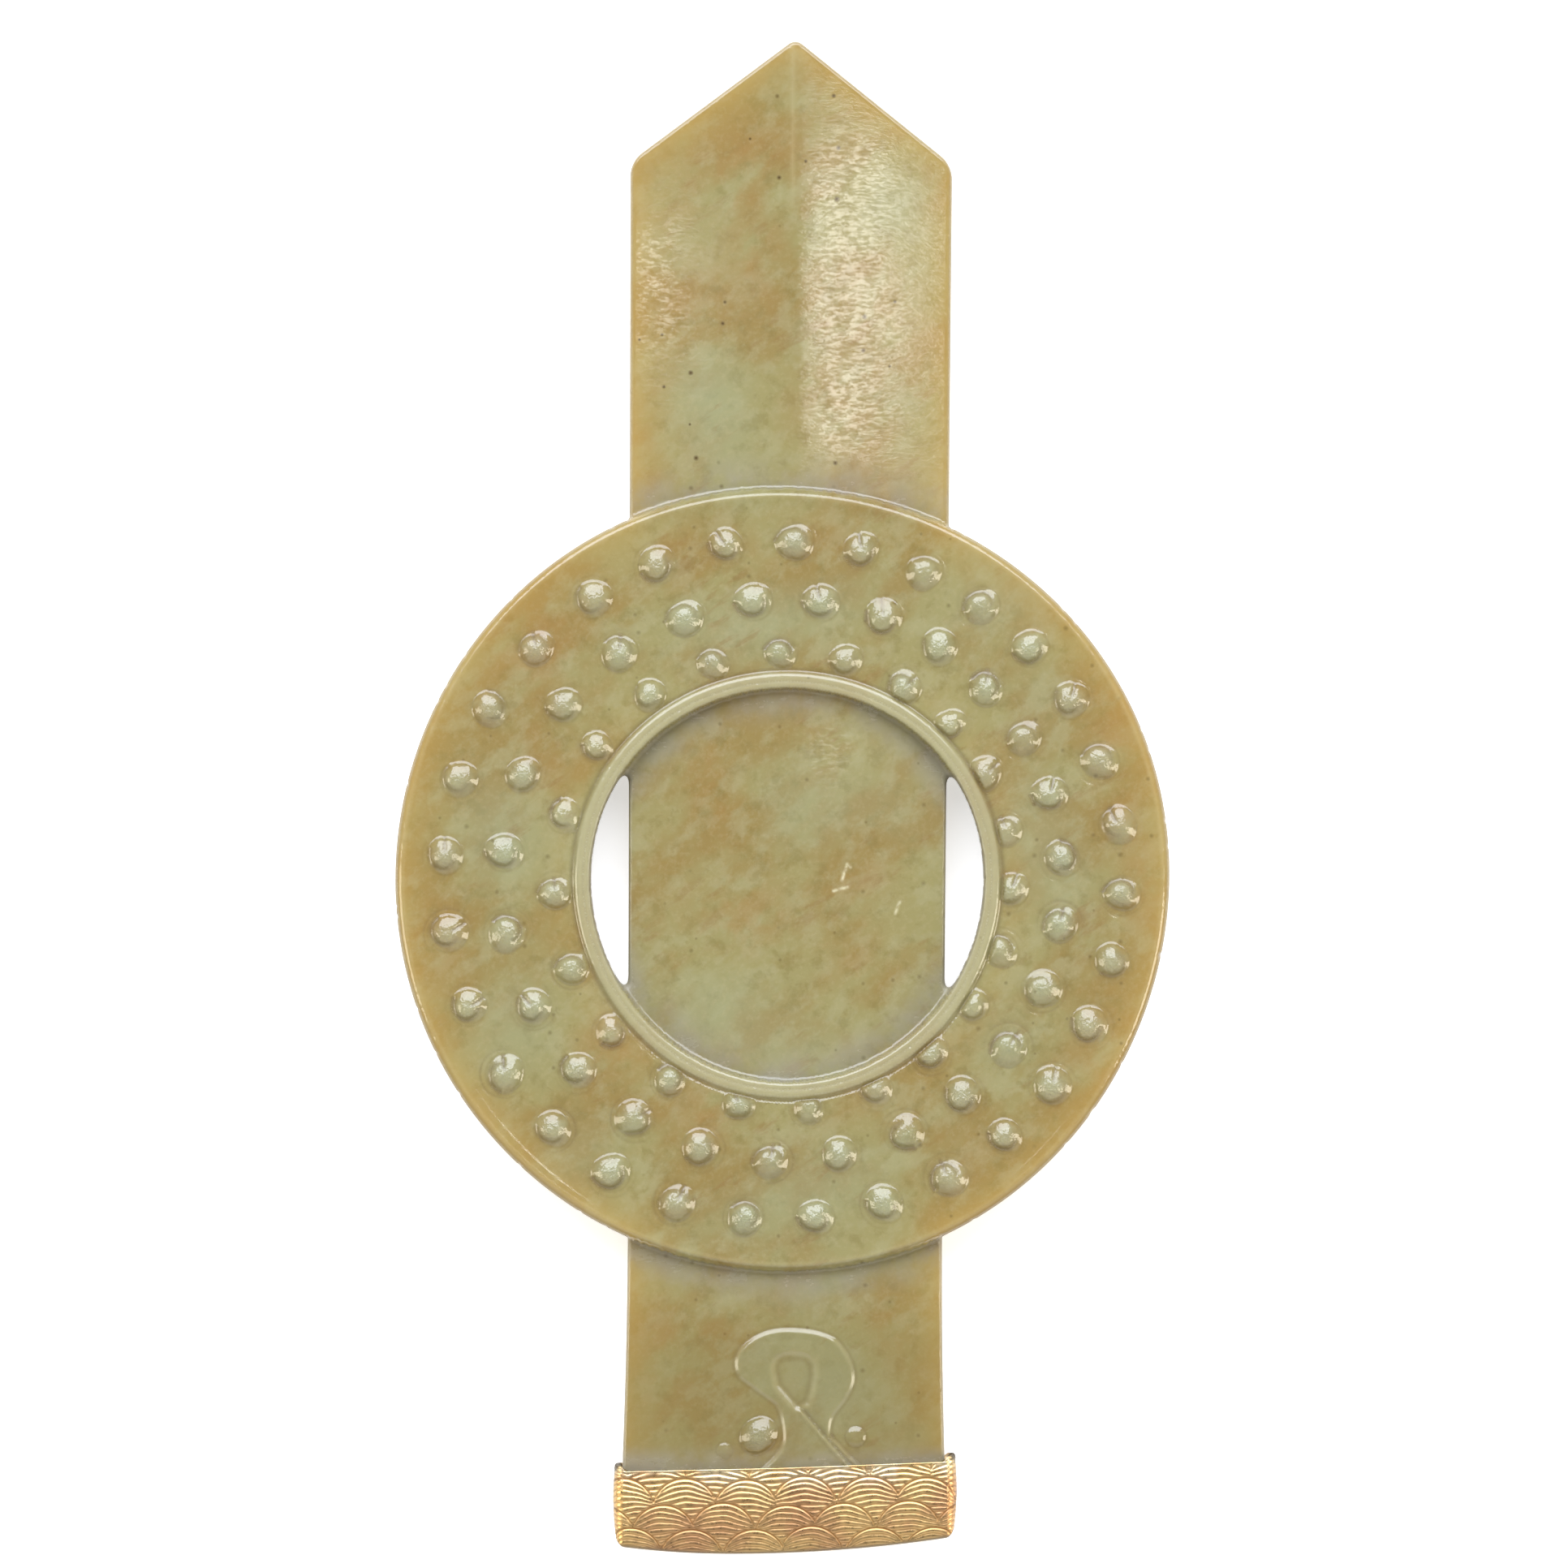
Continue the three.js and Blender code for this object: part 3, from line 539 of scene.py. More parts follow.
def front_surface(x, y):
    """Heights of the front, and the values that the finish reads there."""
    ring = inside_ring(x, y)
    on_ring = ring > 0
    edge = inside_disc_edge(x, y)
    hole = outside_hole_edge(x, y)
    bosses, boss_lines, domes, feet = boss_relief(x, y)
    clear = slope_between(hole, RIM_GROOVE_AT, RIM_GROOVE_AT + 0.3) * slope_between(edge, *BOSSES_FROM_LIP)

    tablet = tablet_front(x, y)
    wall = FIELD_Z + np.where(edge < NEAR_DISC_EDGE, 0, RIM_HEIGHT) - EDGE_ROUND - tablet
    tablet = tablet + fillet_height(np.maximum(-ring, 0), WALL_HOLLOW * np.maximum(wall, LEAST_WALL))
    tablet = tablet - round_over(inside_stone(x, y), EDGE_ROUND)
    scroll, scroll_lines, nubs, scroll_crests, ribbon = scroll_relief(x, y)
    height = np.where(on_ring, ring_front(x, y) + bosses * clear, tablet + scroll)

    groove = ridge_line(hole - RIM_GROOVE_AT, RIM_GROOVE_WIDTH)
    groove = groove + ridge_line(hole - RIM_LINE_AT, RIM_LINE_WIDTH)
    # The disc's cut lines and grooves are darkened with dirt and painted shade
    ring_lines = np.clip(boss_lines * clear + GROOVE_DIRT_AND_SHADE * groove, 0, 1)
    # a pale line along the lip and the ridge: wear and a painted highlight
    lip_crest = LIP_CREST_SHARE * ridge_line(edge - LIP_CREST, CREST_WIDTH)
    ridge = ridge_line(x - RIDGE_X, RIDGE_SOFTNESS) * slope_between(y, RIDGE_PALE_FROM, TABLET_SHOULDER_Y)
    values = finish_of_both_faces(x, y)
    values["lines"] = np.where(on_ring, ring_lines, scroll_lines)
    # The squared dome share dulls the domes and tints their tops paler: the bosses' own paler stone, and a
    # painted sheen
    values["dome"] = np.where(on_ring, domes * clear, nubs) ** 2
    # a darker ring at each boss's foot: dirt and painted shade in the crease
    values["foot"] = on_ring * feet * clear
    values["crest"] = np.where(on_ring, lip_crest, np.maximum(scroll_crests, RIDGE_CREST_SHARE * ridge))
    values["cool"] = np.maximum(values["cool"], RIBBON_COOLNESS * ribbon)
    values["scratch"] = scratched(x, y)
    return height, values


def back_surface(x, y):
    """The plain back: the disc's ground between two rims, and the flat tablet further in."""
    ring = inside_ring(x, y)
    edge = inside_disc_edge(x, y)
    hole = outside_hole_edge(x, y)
    ground = slope_between(edge, *BACK_LIP) * slope_between(hole, RIM_WIDTH - 0.3, RIM_WIDTH + 0.2)
    face = BACK_FIELD_Z * ground + round_over(edge, EDGE_ROUND) + round_over(hole, RIM_ROUND)
    tablet = TABLET_BACK_Z - 0.3 * hand_waviness(x, y)
    wall = np.maximum(tablet - EDGE_ROUND, LEAST_WALL)
    tablet = tablet - fillet_height(np.maximum(-ring, 0), wall) + round_over(inside_stone(x, y), EDGE_ROUND)
    return np.where(ring > 0, face, tablet), finish_of_both_faces(x, y)


# Points of the jade's mesh: how closely they stand, in mm, and which rows follow an edge

EDGE_SPACING = 0.42
EDGE_BETWEEN = (35, 115)          # no part of the outer edge is nearer to the hole's middle, or further off
SLIT_SPACING = 0.34
SLIT_MIDDLES = ((-20, HOLE_Y + 0.3), (21, HOLE_Y + 0.3))
SLIT_HALF_SIZE = (2, 12)
BOSS_SPACING = 0.22
BOSS_FOOT_REACH = 2.3             # from here outwards the points stand less closely
BOSS_FOOT_RINGS = [2.45, 2.62, 2.8, 3.05]
BOSS_FOOT_SPACING = 0.36
SCROLL_SPACING = 0.2
SCRATCH_SPACING = 0.16
RIDGE_SPACING = 0.8
RIDGE_STEPS = (-1, -0.4, 0, 0.4, 1)
GROUND_SPACING = 0.68
TABLET_SPACING = 0.95
BACK_SPACING = 2.2
EDGE_STEPS = (0.05, 0.14, 0.27, 0.42, 0.7)
LIP_STEPS = (-2.6, -1.6, -1.1, -0.75, -0.45, -0.22, -0.08, 0, 0.08, 0.18, 0.32, 0.48, 0.64, 0.76, 0.86, 1,
             1.2, 1.5, 1.9, 2.4, 2.8)
RIM_STEPS = (-3.4, -2.6, -2.0, -1.4, -0.95, -0.6, -0.32, -0.12, 0, 0.08, 0.2, 0.4, 0.6, 0.73, 0.85, 0.97,
             1.15, 1.4, 1.65, 1.8, 1.92, 2.04, 2.16, 2.28, 2.42, 2.6)
BACK_EDGE_STEPS = (0.14, 0.42)
BACK_RIM_STEPS = (-1.0, -0.5, -0.15, 0, 0.15, 0.45, 1.6, 2.1)
BACK_LIP_STEPS = (-1.0, -0.5, -0.15, 0, 0.15, 0.4, 1.4, 1.9)


def run_length(loop):
    """Length along a closed loop at each of its points, and at its first point again."""
    return np.concatenate([[0], np.cumsum(np.hypot(*np.diff(np.vstack([loop, loop[:1]]), axis=0).T))])


def trace_edge(centre, half_size, near, far, spacing):
    """The plan's edge, going round from a middle point: found along rays, then spaced evenly.
    near and far, in half sizes, are where a ray starts and ends, with the edge between them."""
    angle = np.linspace(0, 2 * math.pi, 7200, endpoint=False)
    ray = np.stack([np.cos(angle) * half_size[0], np.sin(angle) * half_size[1]], axis=1)
    low = np.full(len(angle), near, float)
    high = np.full(len(angle), far, float)
    start_inside = inside_stone(*(centre + ray * low[:, None]).T) > 0
    for _ in range(40):
        middle = (low + high) / 2
        same = (inside_stone(*(centre + ray * middle[:, None]).T) > 0) == start_inside
        low = np.where(same, middle, low)
        high = np.where(same, high, middle)
    loop = centre + ray * low[:, None]
    length = run_length(loop)
    count = int(round(length[-1] / spacing))
    at = np.linspace(0, length[-1], count, endpoint=False)
    closed = np.vstack([loop, loop[:1]])
    return np.stack([np.interp(at, length, closed[:, 0]), np.interp(at, length, closed[:, 1])], axis=1)


def stone_edges():
    """The outer edge, then the two slits."""
    loops = [trace_edge(np.array([HOLE_X, HOLE_Y]), (1, 1), *EDGE_BETWEEN, EDGE_SPACING)]
    for middle in SLIT_MIDDLES:
        loops.append(trace_edge(np.array(middle), SLIT_HALF_SIZE, 0, 2, SLIT_SPACING))
    return loops


def inward(loop):
    """Unit directions into the stone along an edge."""
    step = 0.01
    x, y = loop.T
    gx = inside_stone(x + step, y) - inside_stone(x - step, y)
    gy = inside_stone(x, y + step) - inside_stone(x, y - step)
    size = np.maximum(np.hypot(gx, gy), 1e-9)
    return np.stack([gx / size, gy / size], axis=1)


def edge_rings(loops, distances):
    """Points at set distances in from the edges, without those that land much nearer or further in."""
    made = []
    for loop in loops:
        direction = inward(loop)
        for distance in distances:
            points = loop + direction * distance
            depth = inside_stone(*points.T)
            made.append(points[(depth > distance * 0.85) & (depth < distance * 1.3 + 0.02)])
    return np.vstack(made)


def turned_steps(radius, spacing, row):
    """Directions to evenly spaced points on a circle, half a step further round on every other row."""
    count = max(6, int(2 * math.pi * radius / spacing))
    angle = (np.arange(count) + 0.5 * (row % 2)) * 2 * math.pi / count
    return np.stack([np.cos(angle), np.sin(angle)], axis=1)


def circle_rings(which, steps, spacing):
    """Points at set distances from the disc's edge or the hole's edge, where there is stone."""
    if which == "disc":
        centre, radius, sign = np.array([DISC_X, DISC_Y]), DISC_RADIUS, -1
        distance = inside_disc_edge
    else:
        centre, radius, sign = np.array([HOLE_X, HOLE_Y]), HOLE_RADIUS, 1
        distance = outside_hole_edge
    made = []
    for row, step in enumerate(steps):
        direction = turned_steps(radius, spacing, row)
        reach = np.full(len(direction), radius + sign * step, float)
        for _ in range(4):
            points = centre + direction * reach[:, None]
            reach += sign * (step - distance(*points.T))
        made.append(centre + direction * reach[:, None])
    return np.vstack(made)


def boss_points():
    """Rings of points over each boss and just beyond its foot."""
    rings = list(np.arange(BOSS_SPACING, BOSS_RADIUS + 0.25, BOSS_SPACING)) + BOSS_FOOT_RINGS
    made = []
    for boss in BOSSES:
        centre = np.array([boss["x"], boss["y"]])
        for row, radius in enumerate(rings):
            spacing = BOSS_SPACING if radius < BOSS_FOOT_REACH else BOSS_FOOT_SPACING
            made.append(centre + radius * turned_steps(radius, spacing, row))
    return np.vstack(made)


def grid_points(low_x, high_x, low_y, high_y, spacing):
    """Points in offset rows over a box."""
    rows = np.arange(low_y, high_y, spacing * math.sqrt(3) / 2)
    columns = np.arange(low_x, high_x, spacing)
    x = np.concatenate([columns + 0.5 * spacing * (i % 2) for i in range(len(rows))])
    y = np.repeat(rows, len(columns))
    return np.stack([x, y], axis=1)


class Plan:
    """Points gathered from the finest to the coarsest, none too close to one already there."""

    CELL = 0.05
    HALF_WIDTH = 47
    HALF_LENGTH = 90

    def __init__(self, loops):
        self.size = (int(2 * self.HALF_WIDTH / self.CELL), int(2 * self.HALF_LENGTH / self.CELL))
        self.taken = np.zeros(self.size, bool)
        self.points = []
        for loop in loops:
            self.mark(loop, 0.1)

    def cells(self, points):
        column = ((points[:, 0] + self.HALF_WIDTH) / self.CELL).astype(int)
        row = ((points[:, 1] + self.HALF_LENGTH) / self.CELL).astype(int)
        return np.clip(column, 0, self.size[0] - 1), np.clip(row, 0, self.size[1] - 1)

    def mark(self, points, room):
        column, row = self.cells(points)
        reach = int(room / self.CELL)
        for i in range(-reach, reach + 1):
            for j in range(-reach, reach + 1):
                if i * i + j * j <= reach * reach:
                    columns = np.clip(column + i, 0, self.size[0] - 1)
                    rows = np.clip(row + j, 0, self.size[1] - 1)
                    self.taken[columns, rows] = True

    def add(self, points, room, least_depth=0.02):
        points = points[inside_stone(*points.T) > least_depth]
        column, row = self.cells(points)
        points = points[~self.taken[column, row]]
        self.points.append(points)
        self.mark(points, room)

    def all(self):
        return np.vstack(self.points)


def front_points(loops):
    """Points of the front, from those along the edges to those on open ground."""
    plan = Plan(loops)
    plan.add(edge_rings(loops, EDGE_STEPS), 0.15, 0.03)
    plan.add(circle_rings("hole", RIM_STEPS, 0.36), 0.12, 0.1)
    plan.add(circle_rings("disc", LIP_STEPS, 0.5), 0.12, 0.1)
    bosses = boss_points()
    plan.add(bosses[inside_ring(*bosses.T) > BOSSES_FROM_LIP[0]], 0.15)
    scroll = grid_points(-8.5, 10.5, SCROLL_END_Y + 0.8, -60.4, SCROLL_SPACING)
    near = inside_outline(*scroll.T, SCROLL_LOOP)
    for nub in NUBS:
        near = np.maximum(near, nub["radius"] - np.hypot(scroll[:, 0] - nub["x"], scroll[:, 1] - nub["y"]))
    plan.add(scroll[near > -0.7], 0.15)
    for ax, ay, bx, by in WHITE_SCRATCHES:
        plan.add(grid_points(min(ax, bx) - 0.6, max(ax, bx) + 0.6, min(ay, by) - 0.6, max(ay, by) + 0.6,
                             SCRATCH_SPACING), 0.15)
    ridge_y = np.arange(-58, TOP_Y, RIDGE_SPACING)
    ridge_y = ridge_y[inside_ring(RIDGE_X + 0 * ridge_y, ridge_y) < -1.5]
    for off in RIDGE_STEPS:
        plan.add(np.stack([RIDGE_X + off + 0 * ridge_y, ridge_y], axis=1), 0.3)
    ground = grid_points(-46, 46, -56, 37, GROUND_SPACING)
    plan.add(ground[inside_ring(*ground.T) > 0], 0.4)
    plan.add(grid_points(-20, 21, TANG_END_Y, TOP_Y, TABLET_SPACING), 0.5)
    return plan.all()


def back_points(loops):
    plan = Plan(loops)
    plan.add(edge_rings(loops, BACK_EDGE_STEPS), 0.3, 0.05)
    plan.add(circle_rings("hole", BACK_RIM_STEPS, 1.0), 0.12, 0.1)
    plan.add(circle_rings("disc", BACK_LIP_STEPS, 1.3), 0.12, 0.1)
    plan.add(grid_points(-46, 46, TANG_END_Y, TOP_Y, BACK_SPACING), 0.8)
    return plan.all()


def turning(verts, faces):
    """Twice each triangle's area, positive where it turns counter-clockwise."""
    a, b, c = (verts[faces[:, i]] for i in range(3))
    return (b[:, 0] - a[:, 0]) * (c[:, 1] - a[:, 1]) - (b[:, 1] - a[:, 1]) * (c[:, 0] - a[:, 0])


def net_over(loops, points):
    """Triangles over the plan, with its edges kept."""
    flat = np.vstack(loops + [points])
    edges = []
    start = 0
    for loop in loops:
        count = len(loop)
        edges += [(start + i, start + (i + 1) % count) for i in range(count)]
        start += count
    made = delaunay_2d_cdt([Vector(p) for p in flat.tolist()], edges, [], 0, 1e-7)
    verts = np.array([tuple(v) for v in made[0]])
    faces = np.array(made[2])
    if len(verts) != len(flat):
        raise RuntimeError(f"the net has {len(verts)} points instead of {len(flat)}")
    # A triangle between three points of one edge lies outside the stone when it turns the wrong way round
    keep = np.ones(len(faces), bool)
    start = 0
    for loop in loops:
        one_edge = np.all((faces >= start) & (faces < start + len(loop)), axis=1)
        way = turning(verts, np.sort(faces[one_edge], axis=1))
        keep[one_edge] = way > 0 if start == 0 else way < 0
        start += len(loop)
    faces = faces[keep]
    wrong = turning(verts, faces) < 0
    faces[wrong] = faces[wrong][:, ::-1]
    return verts, faces


def make_mesh(name, verts, faces, values):
    """A smooth mesh from points in mm, with one number for each point under each of the values' names."""
    mesh = bpy.data.meshes.new(name)
    mesh.from_pydata((verts * MM).tolist(), [], faces)
    mesh.update()
    mesh.polygons.foreach_set("use_smooth", np.ones(len(mesh.polygons), bool))
    for key, numbers in values.items():
        made = mesh.attributes.new(key, "FLOAT", "POINT")
        made.data.foreach_set("value", np.ascontiguousarray(numbers, dtype=np.float32))
    piece = bpy.data.objects.new(name, mesh)
    bpy.context.scene.collection.objects.link(piece)
    return piece


WALL_LEVELS = 4
WALL_GLOW = 0.4                   # the walls have this share of the edges' painted glow


def wall_faces(loops, rows):
    """Faces between the rows of points that go down from the front's edges to the back's."""
    faces = []
    start = 0
    for loop in loops:
        this = np.arange(start, start + len(loop))
        following = np.roll(this, -1)
        x, y = loop.T
        area = np.sum(x * np.roll(y, -1) - np.roll(x, -1) * y)
        outward = (area > 0) == (start == 0)
        for upper, lower in zip(rows, rows[1:]):
            quads = np.column_stack([upper[this], lower[this], lower[following], upper[following]])
            faces += (quads if outward else quads[:, ::-1]).tolist()
        start += len(loop)
    return faces


def make_jade():
    """The stone: its carved front, its plain back and the walls between them, in one closed mesh."""
    loops = stone_edges()
    edge_count = sum(len(loop) for loop in loops)
    front_flat, front_faces = net_over(loops, front_points(loops))
    back_flat, back_faces = net_over(loops, back_points(loops))
    top, front = front_surface(*front_flat.T)
    bottom, back = back_surface(*back_flat.T)
    verts = [np.column_stack([front_flat, top]), np.column_stack([back_flat, bottom])]
    values = {key: [front[key], back[key]] for key in CARVED_VALUES}
    back_start = len(front_flat)

    # The walls between the two faces, all round each edge
    wall = {key: front[key][:edge_count] for key in CARVED_VALUES}
    wall["painted_grey_brink"] = np.zeros(edge_count)
    wall["edge"] = WALL_GLOW * wall["edge"]
    rows = [np.arange(edge_count)]
    next_row = back_start + len(back_flat)
    for level in range(1, WALL_LEVELS):
        share = level / WALL_LEVELS
        height = top[:edge_count] + (bottom[:edge_count] - top[:edge_count]) * share
        verts.append(np.column_stack([front_flat[:edge_count], height]))
        for key in CARVED_VALUES:
            values[key].append(wall[key])
        rows.append(np.arange(edge_count) + next_row)
        next_row += edge_count
    rows.append(np.arange(edge_count) + back_start)
    faces = front_faces.tolist() + (back_faces[:, ::-1] + back_start).tolist() + wall_faces(loops, rows)
    values = {key: np.concatenate(parts) for key, parts in values.items()}
    return make_mesh("jade_carving", np.vstack(verts), faces, values)


# The gilt cap

CAP_WALL = 0.8
CAP_GAP = 0.3
CAP_FRONT_ROOM = 0.85
CAP_LEFT_X = -19.6
CAP_RIGHT_X = 20.2
CAP_MOUTH_LEFT_Y = -77.9
CAP_MOUTH_MIDDLE_Y = -77.45
CAP_MOUTH_RIGHT_Y = -76.7
CAP_END_LEFT_Y = -86.6
CAP_END_RIGHT_Y = -85.5
CAP_END_LOWEST_X = -6
CAP_CORNER = 0.9
CAP_BACK_Z = 0.35
CAP_FACE_Z = RIDGE_Z + CAP_FRONT_ROOM + CAP_WALL
CAP_MIDDLE_Z = (CAP_BACK_Z + CAP_FACE_Z) / 2
CAP_CROWN = 0.35
CAP_EDGE_ROUND = 1.3
CAP_INNER_FACE_Z = RIDGE_Z + CAP_FRONT_ROOM - 0.3
CAP_INNER_ROUND = 0.25
CAP_END_ROUND = 0.45
CAP_MOUTH_ROUND = 0.12
CAP_PILLOW = 0.24                 # its faces turn in a little towards the mouth and more towards the end
CAP_PILLOW_TOP = 0.42
CAP_SHOULDER = 0.7                # the sides stand this much higher than the front's edge
CAP_SHOULDER_WIDTH = 1.15
CAP_SHOULDER_SLOPE = 0.2
CAP_SHOULDER_ROUND = 0.35
CAP_END_PATINA = 0.3
CAP_END_WEAR = 0.35               # how wide it is worn grey: its end, its sides and their upper corners
CAP_SIDE_WEAR = 0.45
CAP_SHOULDER_WEAR = (0.5, 1)
CAP_GLARE_REACH = 3.2            # cream patches of painted glare on the gilding at the mouth, ever fewer this far down
CAP_FLOOR_Y = TANG_END_Y - CAP_GAP
CAP_COLUMNS = 430
CAP_ROWS = 90
CAP_END_ROWS = 8                  # of which this many stand close together at the rounded end
CAP_END_FILLS = 7                 # and this many cross each closed end

# The wave scales chased on it
SCALE_WIDTH = 7.05
SCALE_RADIUS = 3.75
SCALE_ROWS = [(-10.5, -84.5), (-13.8, -81.7), (-11.35, -78.7), (-14.6, -75.8)]   # the lowest lies on top
SCALE_TILT = 0.012                # the rows climb a little to the right
SCALE_ARCH_WIDTH = 0.15
SCALE_LINE_STEP = 0.6             # spacing of the lines within a scale
SCALE_LINE_WIDTH = 0.105
SCALE_LINE_SHARE = 0.65           # how deep they are, beside 1 for the arches
SCALE_LINES_FROM = (0.2, 0.5)     # they fade in over this stretch under the arch
SCALE_LINES_FLAT = 3.4            # and this far down they have flattened out
SCALE_DEPTH = 0.1
MOUTH_LINES = (0.5, 0.95, 1.35)   # wavy lines along the mouth, where no scale covers them
MOUTH_LINE_WIDTH = 0.09
MOUTH_LINE_SHARE = 0.8
MOUTH_BORDER = 0.28


def spread_evenly(corners, count):
    """Evenly spaced points on a run of corners, and how far along it they lie."""
    corners = np.array(corners, float)
    length = np.concatenate([[0], np.cumsum(np.hypot(*np.diff(corners, axis=0).T))])
    at = np.linspace(0, length[-1], count)
    x, z = corners.T
    return np.stack([np.interp(at, length, x), np.interp(at, length, z)], axis=1), at


def half_section(left, right, face_z, crown, corner):
    """Half a section through the cap, from the middle of its left side over a broad face to the right."""
    way = 1 if face_z > CAP_MIDDLE_Z else -1
    turns = np.linspace(0, math.pi / 2, 9)
    bend = [(corner * (1 - math.cos(t)), face_z - way * corner * (1 - math.sin(t))) for t in turns]
    across = np.linspace(left + corner, right - corner, 60)[1:-1]
    swell = 1 - ((across - (left + right) / 2) / ((right - left) / 2 - corner)) ** 2
    points = [(left, CAP_MIDDLE_Z)]
    points += [(left + inwards, z) for inwards, z in bend]
    points += list(zip(across, face_z + way * crown * swell))
    points += [(right - inwards, z) for inwards, z in bend[::-1]]
    points.append((right, CAP_MIDDLE_Z))
    return spread_evenly(points, CAP_COLUMNS)


def cap_section(left, right, faces_z, crowns, corner):
    """A closed section, the front half first, and how far along it each point lies from the front's middle.
    The front's and the back's heights and crowns come in pairs."""
    front, front_at = half_section(left, right, faces_z[0], crowns[0], corner)
    back, back_at = half_section(left, right, faces_z[1], crowns[1], corner)
    along = np.concatenate([front_at, front_at[-1] + back_at[1:-1]]) - front_at[-1] / 2
    return np.vstack([front, back[-2:0:-1]]), along


def from_cap_side(x):
    return np.minimum(x - CAP_LEFT_X, CAP_RIGHT_X - x)


def cap_mouth_y(x):
    front = np.interp(x, [CAP_LEFT_X, 0, CAP_RIGHT_X],
                      [CAP_MOUTH_LEFT_Y, CAP_MOUTH_MIDDLE_Y, CAP_MOUTH_RIGHT_Y])
    from_side = from_cap_side(x)
    side = slope_between(from_side, CAP_SHOULDER_WIDTH, CAP_SHOULDER_WIDTH - CAP_SHOULDER_SLOPE)
    return front - 0.1 + CAP_SHOULDER * side - round_over(from_side, CAP_SHOULDER_ROUND)


def cap_end_y(x):
    left, right = CAP_LEFT_X, CAP_RIGHT_X
    bow_left = ((x - CAP_END_LOWEST_X) / (left - CAP_END_LOWEST_X)) ** 2
    bow_right = ((x - CAP_END_LOWEST_X) / (right - CAP_END_LOWEST_X)) ** 2
    end = np.where(x < CAP_END_LOWEST_X,
                   BOTTOM_Y + (CAP_END_LEFT_Y - BOTTOM_Y) * bow_left,
                   BOTTOM_Y + (CAP_END_RIGHT_Y - BOTTOM_Y) * bow_right)
    corner = round_over(x - left, CAP_CORNER) + round_over(right - x, CAP_CORNER)
    return end + corner


def chased_lines(x, y, mouth):
    """How deep each point of the cap lies in a cut line, 0 to 1, from its place on the unrolled surface.
    Small sine waves stand for the unsteadiness of the hand."""
    wobble = 0.06 * np.sin(0.9 * x + 1.1 * y) + 0.035 * np.sin(2.3 * x - 0.8 * y)
    y = y - SCALE_TILT * x
    drawn = np.zeros(len(x))
    free = np.ones(len(x), bool)
    for first_x, top_y in SCALE_ROWS:
        u = (x - first_x + SCALE_WIDTH / 2) % SCALE_WIDTH - SCALE_WIDTH / 2
        number = np.round((x - first_x - u) / SCALE_WIDTH)
        u = u - 0.25 * np.sin(3.7 * number + top_y)
        v = y - top_y - 0.2 * np.sin(2.1 * number + top_y)
        drop = SCALE_RADIUS - np.sqrt(np.maximum(SCALE_RADIUS ** 2 - u * u, 0))
        below = -v - drop
        flat = np.clip(-v / SCALE_LINES_FLAT, 0, 1) ** 1.3
        lean = 0.1 * np.sin(1.7 * number + 2.2 * top_y) * u
        steps = ((1 - flat) * below + flat * (-v - 0.35) + lean * flat + wobble) / SCALE_LINE_STEP
        nearest = np.abs(steps - np.round(steps)) * SCALE_LINE_STEP
        line = ridge_line(nearest, SCALE_LINE_WIDTH) * slope_between(below, *SCALE_LINES_FROM)
        line = line * SCALE_LINE_SHARE
        outline = ridge_line(below, SCALE_ARCH_WIDTH)
        here = free & (below > 0)
        edge_of_free = free & (np.abs(below) < 0.35)
        drawn[here] = np.maximum(drawn, line)[here]
        drawn[edge_of_free] = np.maximum(drawn, outline)[edge_of_free]
        free &= below <= 0
    down = mouth - y - SCALE_TILT * x
    waves = np.zeros(len(x))
    for i, at in enumerate(MOUTH_LINES):
        path = at + 0.1 * np.sin(x * (0.8 + 0.2 * i) + 2 * i)
        waves = np.maximum(waves, ridge_line(down - path, MOUTH_LINE_WIDTH))
    drawn = np.where(free, np.maximum(waves * MOUTH_LINE_SHARE, drawn), drawn)
    return drawn * slope_between(down, MOUTH_BORDER * 0.4, MOUTH_BORDER)


def cap_patina(x, y, mouth, end):
    """1 along the cap's rims and corners, where the gilding is worn through to dull grey."""
    from_side = from_cap_side(x)
    sides = ridge_line(from_side, CAP_SIDE_WEAR)
    shoulders = ridge_line(mouth - y, CAP_SHOULDER_WEAR[0]) * ridge_line(from_side, CAP_SHOULDER_WEAR[1])
    return np.clip(ridge_line(y - end, CAP_END_WEAR) + 0.6 * sides + shoulders, 0, 1)


def outward_from(ring):
    """Unit directions out of a closed section at each of its points."""
    following = np.roll(ring, -1, axis=0) - np.roll(ring, 1, axis=0)
    outward = np.stack([-following[:, 1], following[:, 0]], axis=1)
    return outward / np.hypot(*outward.T)[:, None]


class CapMesh:
    """The cap's points and faces, ring by ring from the floor of its hollow over its mouth to its end."""

    def __init__(self):
        self.points = []
        self.faces = []
        self.values = {"lines": [], "patina": [], "polish": []}

    def add_points(self, points, lines, patina, polish):
        """Add a ring or row, and give the numbers of its points."""
        start = sum(len(ring) for ring in self.points)
        self.points.append(points)
        for key, numbers in (("lines", lines), ("patina", patina), ("polish", polish)):
            self.values[key].append(np.broadcast_to(numbers, len(points)))
        return start + np.arange(len(points))

    def close_ring(self, ring, numbers, flip):
        """Close a ring across, from the front half's points to the back half's."""
        half = CAP_COLUMNS - 1
        top = np.arange(1, half)
        bottom = (len(ring) - np.arange(1, half)) % len(ring)
        rows = [numbers[top]]
        for step in range(1, CAP_END_FILLS):
            share = step / CAP_END_FILLS
            row = ring[top] * (1 - share) + ring[bottom] * share
            rows.append(self.add_points(row, 0, CAP_END_PATINA, 0))
        rows.append(numbers[bottom])
        for upper, lower in zip(rows, rows[1:]):
            quads = np.column_stack([upper[:-1], upper[1:], lower[1:], lower[:-1]])
            self.faces += (quads[:, ::-1] if flip else quads).tolist()
        for tip, end, reverse in ((numbers[0], 0, flip), (numbers[half], -1, not flip)):
            for upper, lower in zip(rows[:-1], rows[1:]):
                corners = (int(tip), int(upper[end]), int(lower[end]))
                self.faces.append(corners[::-1] if reverse else corners)


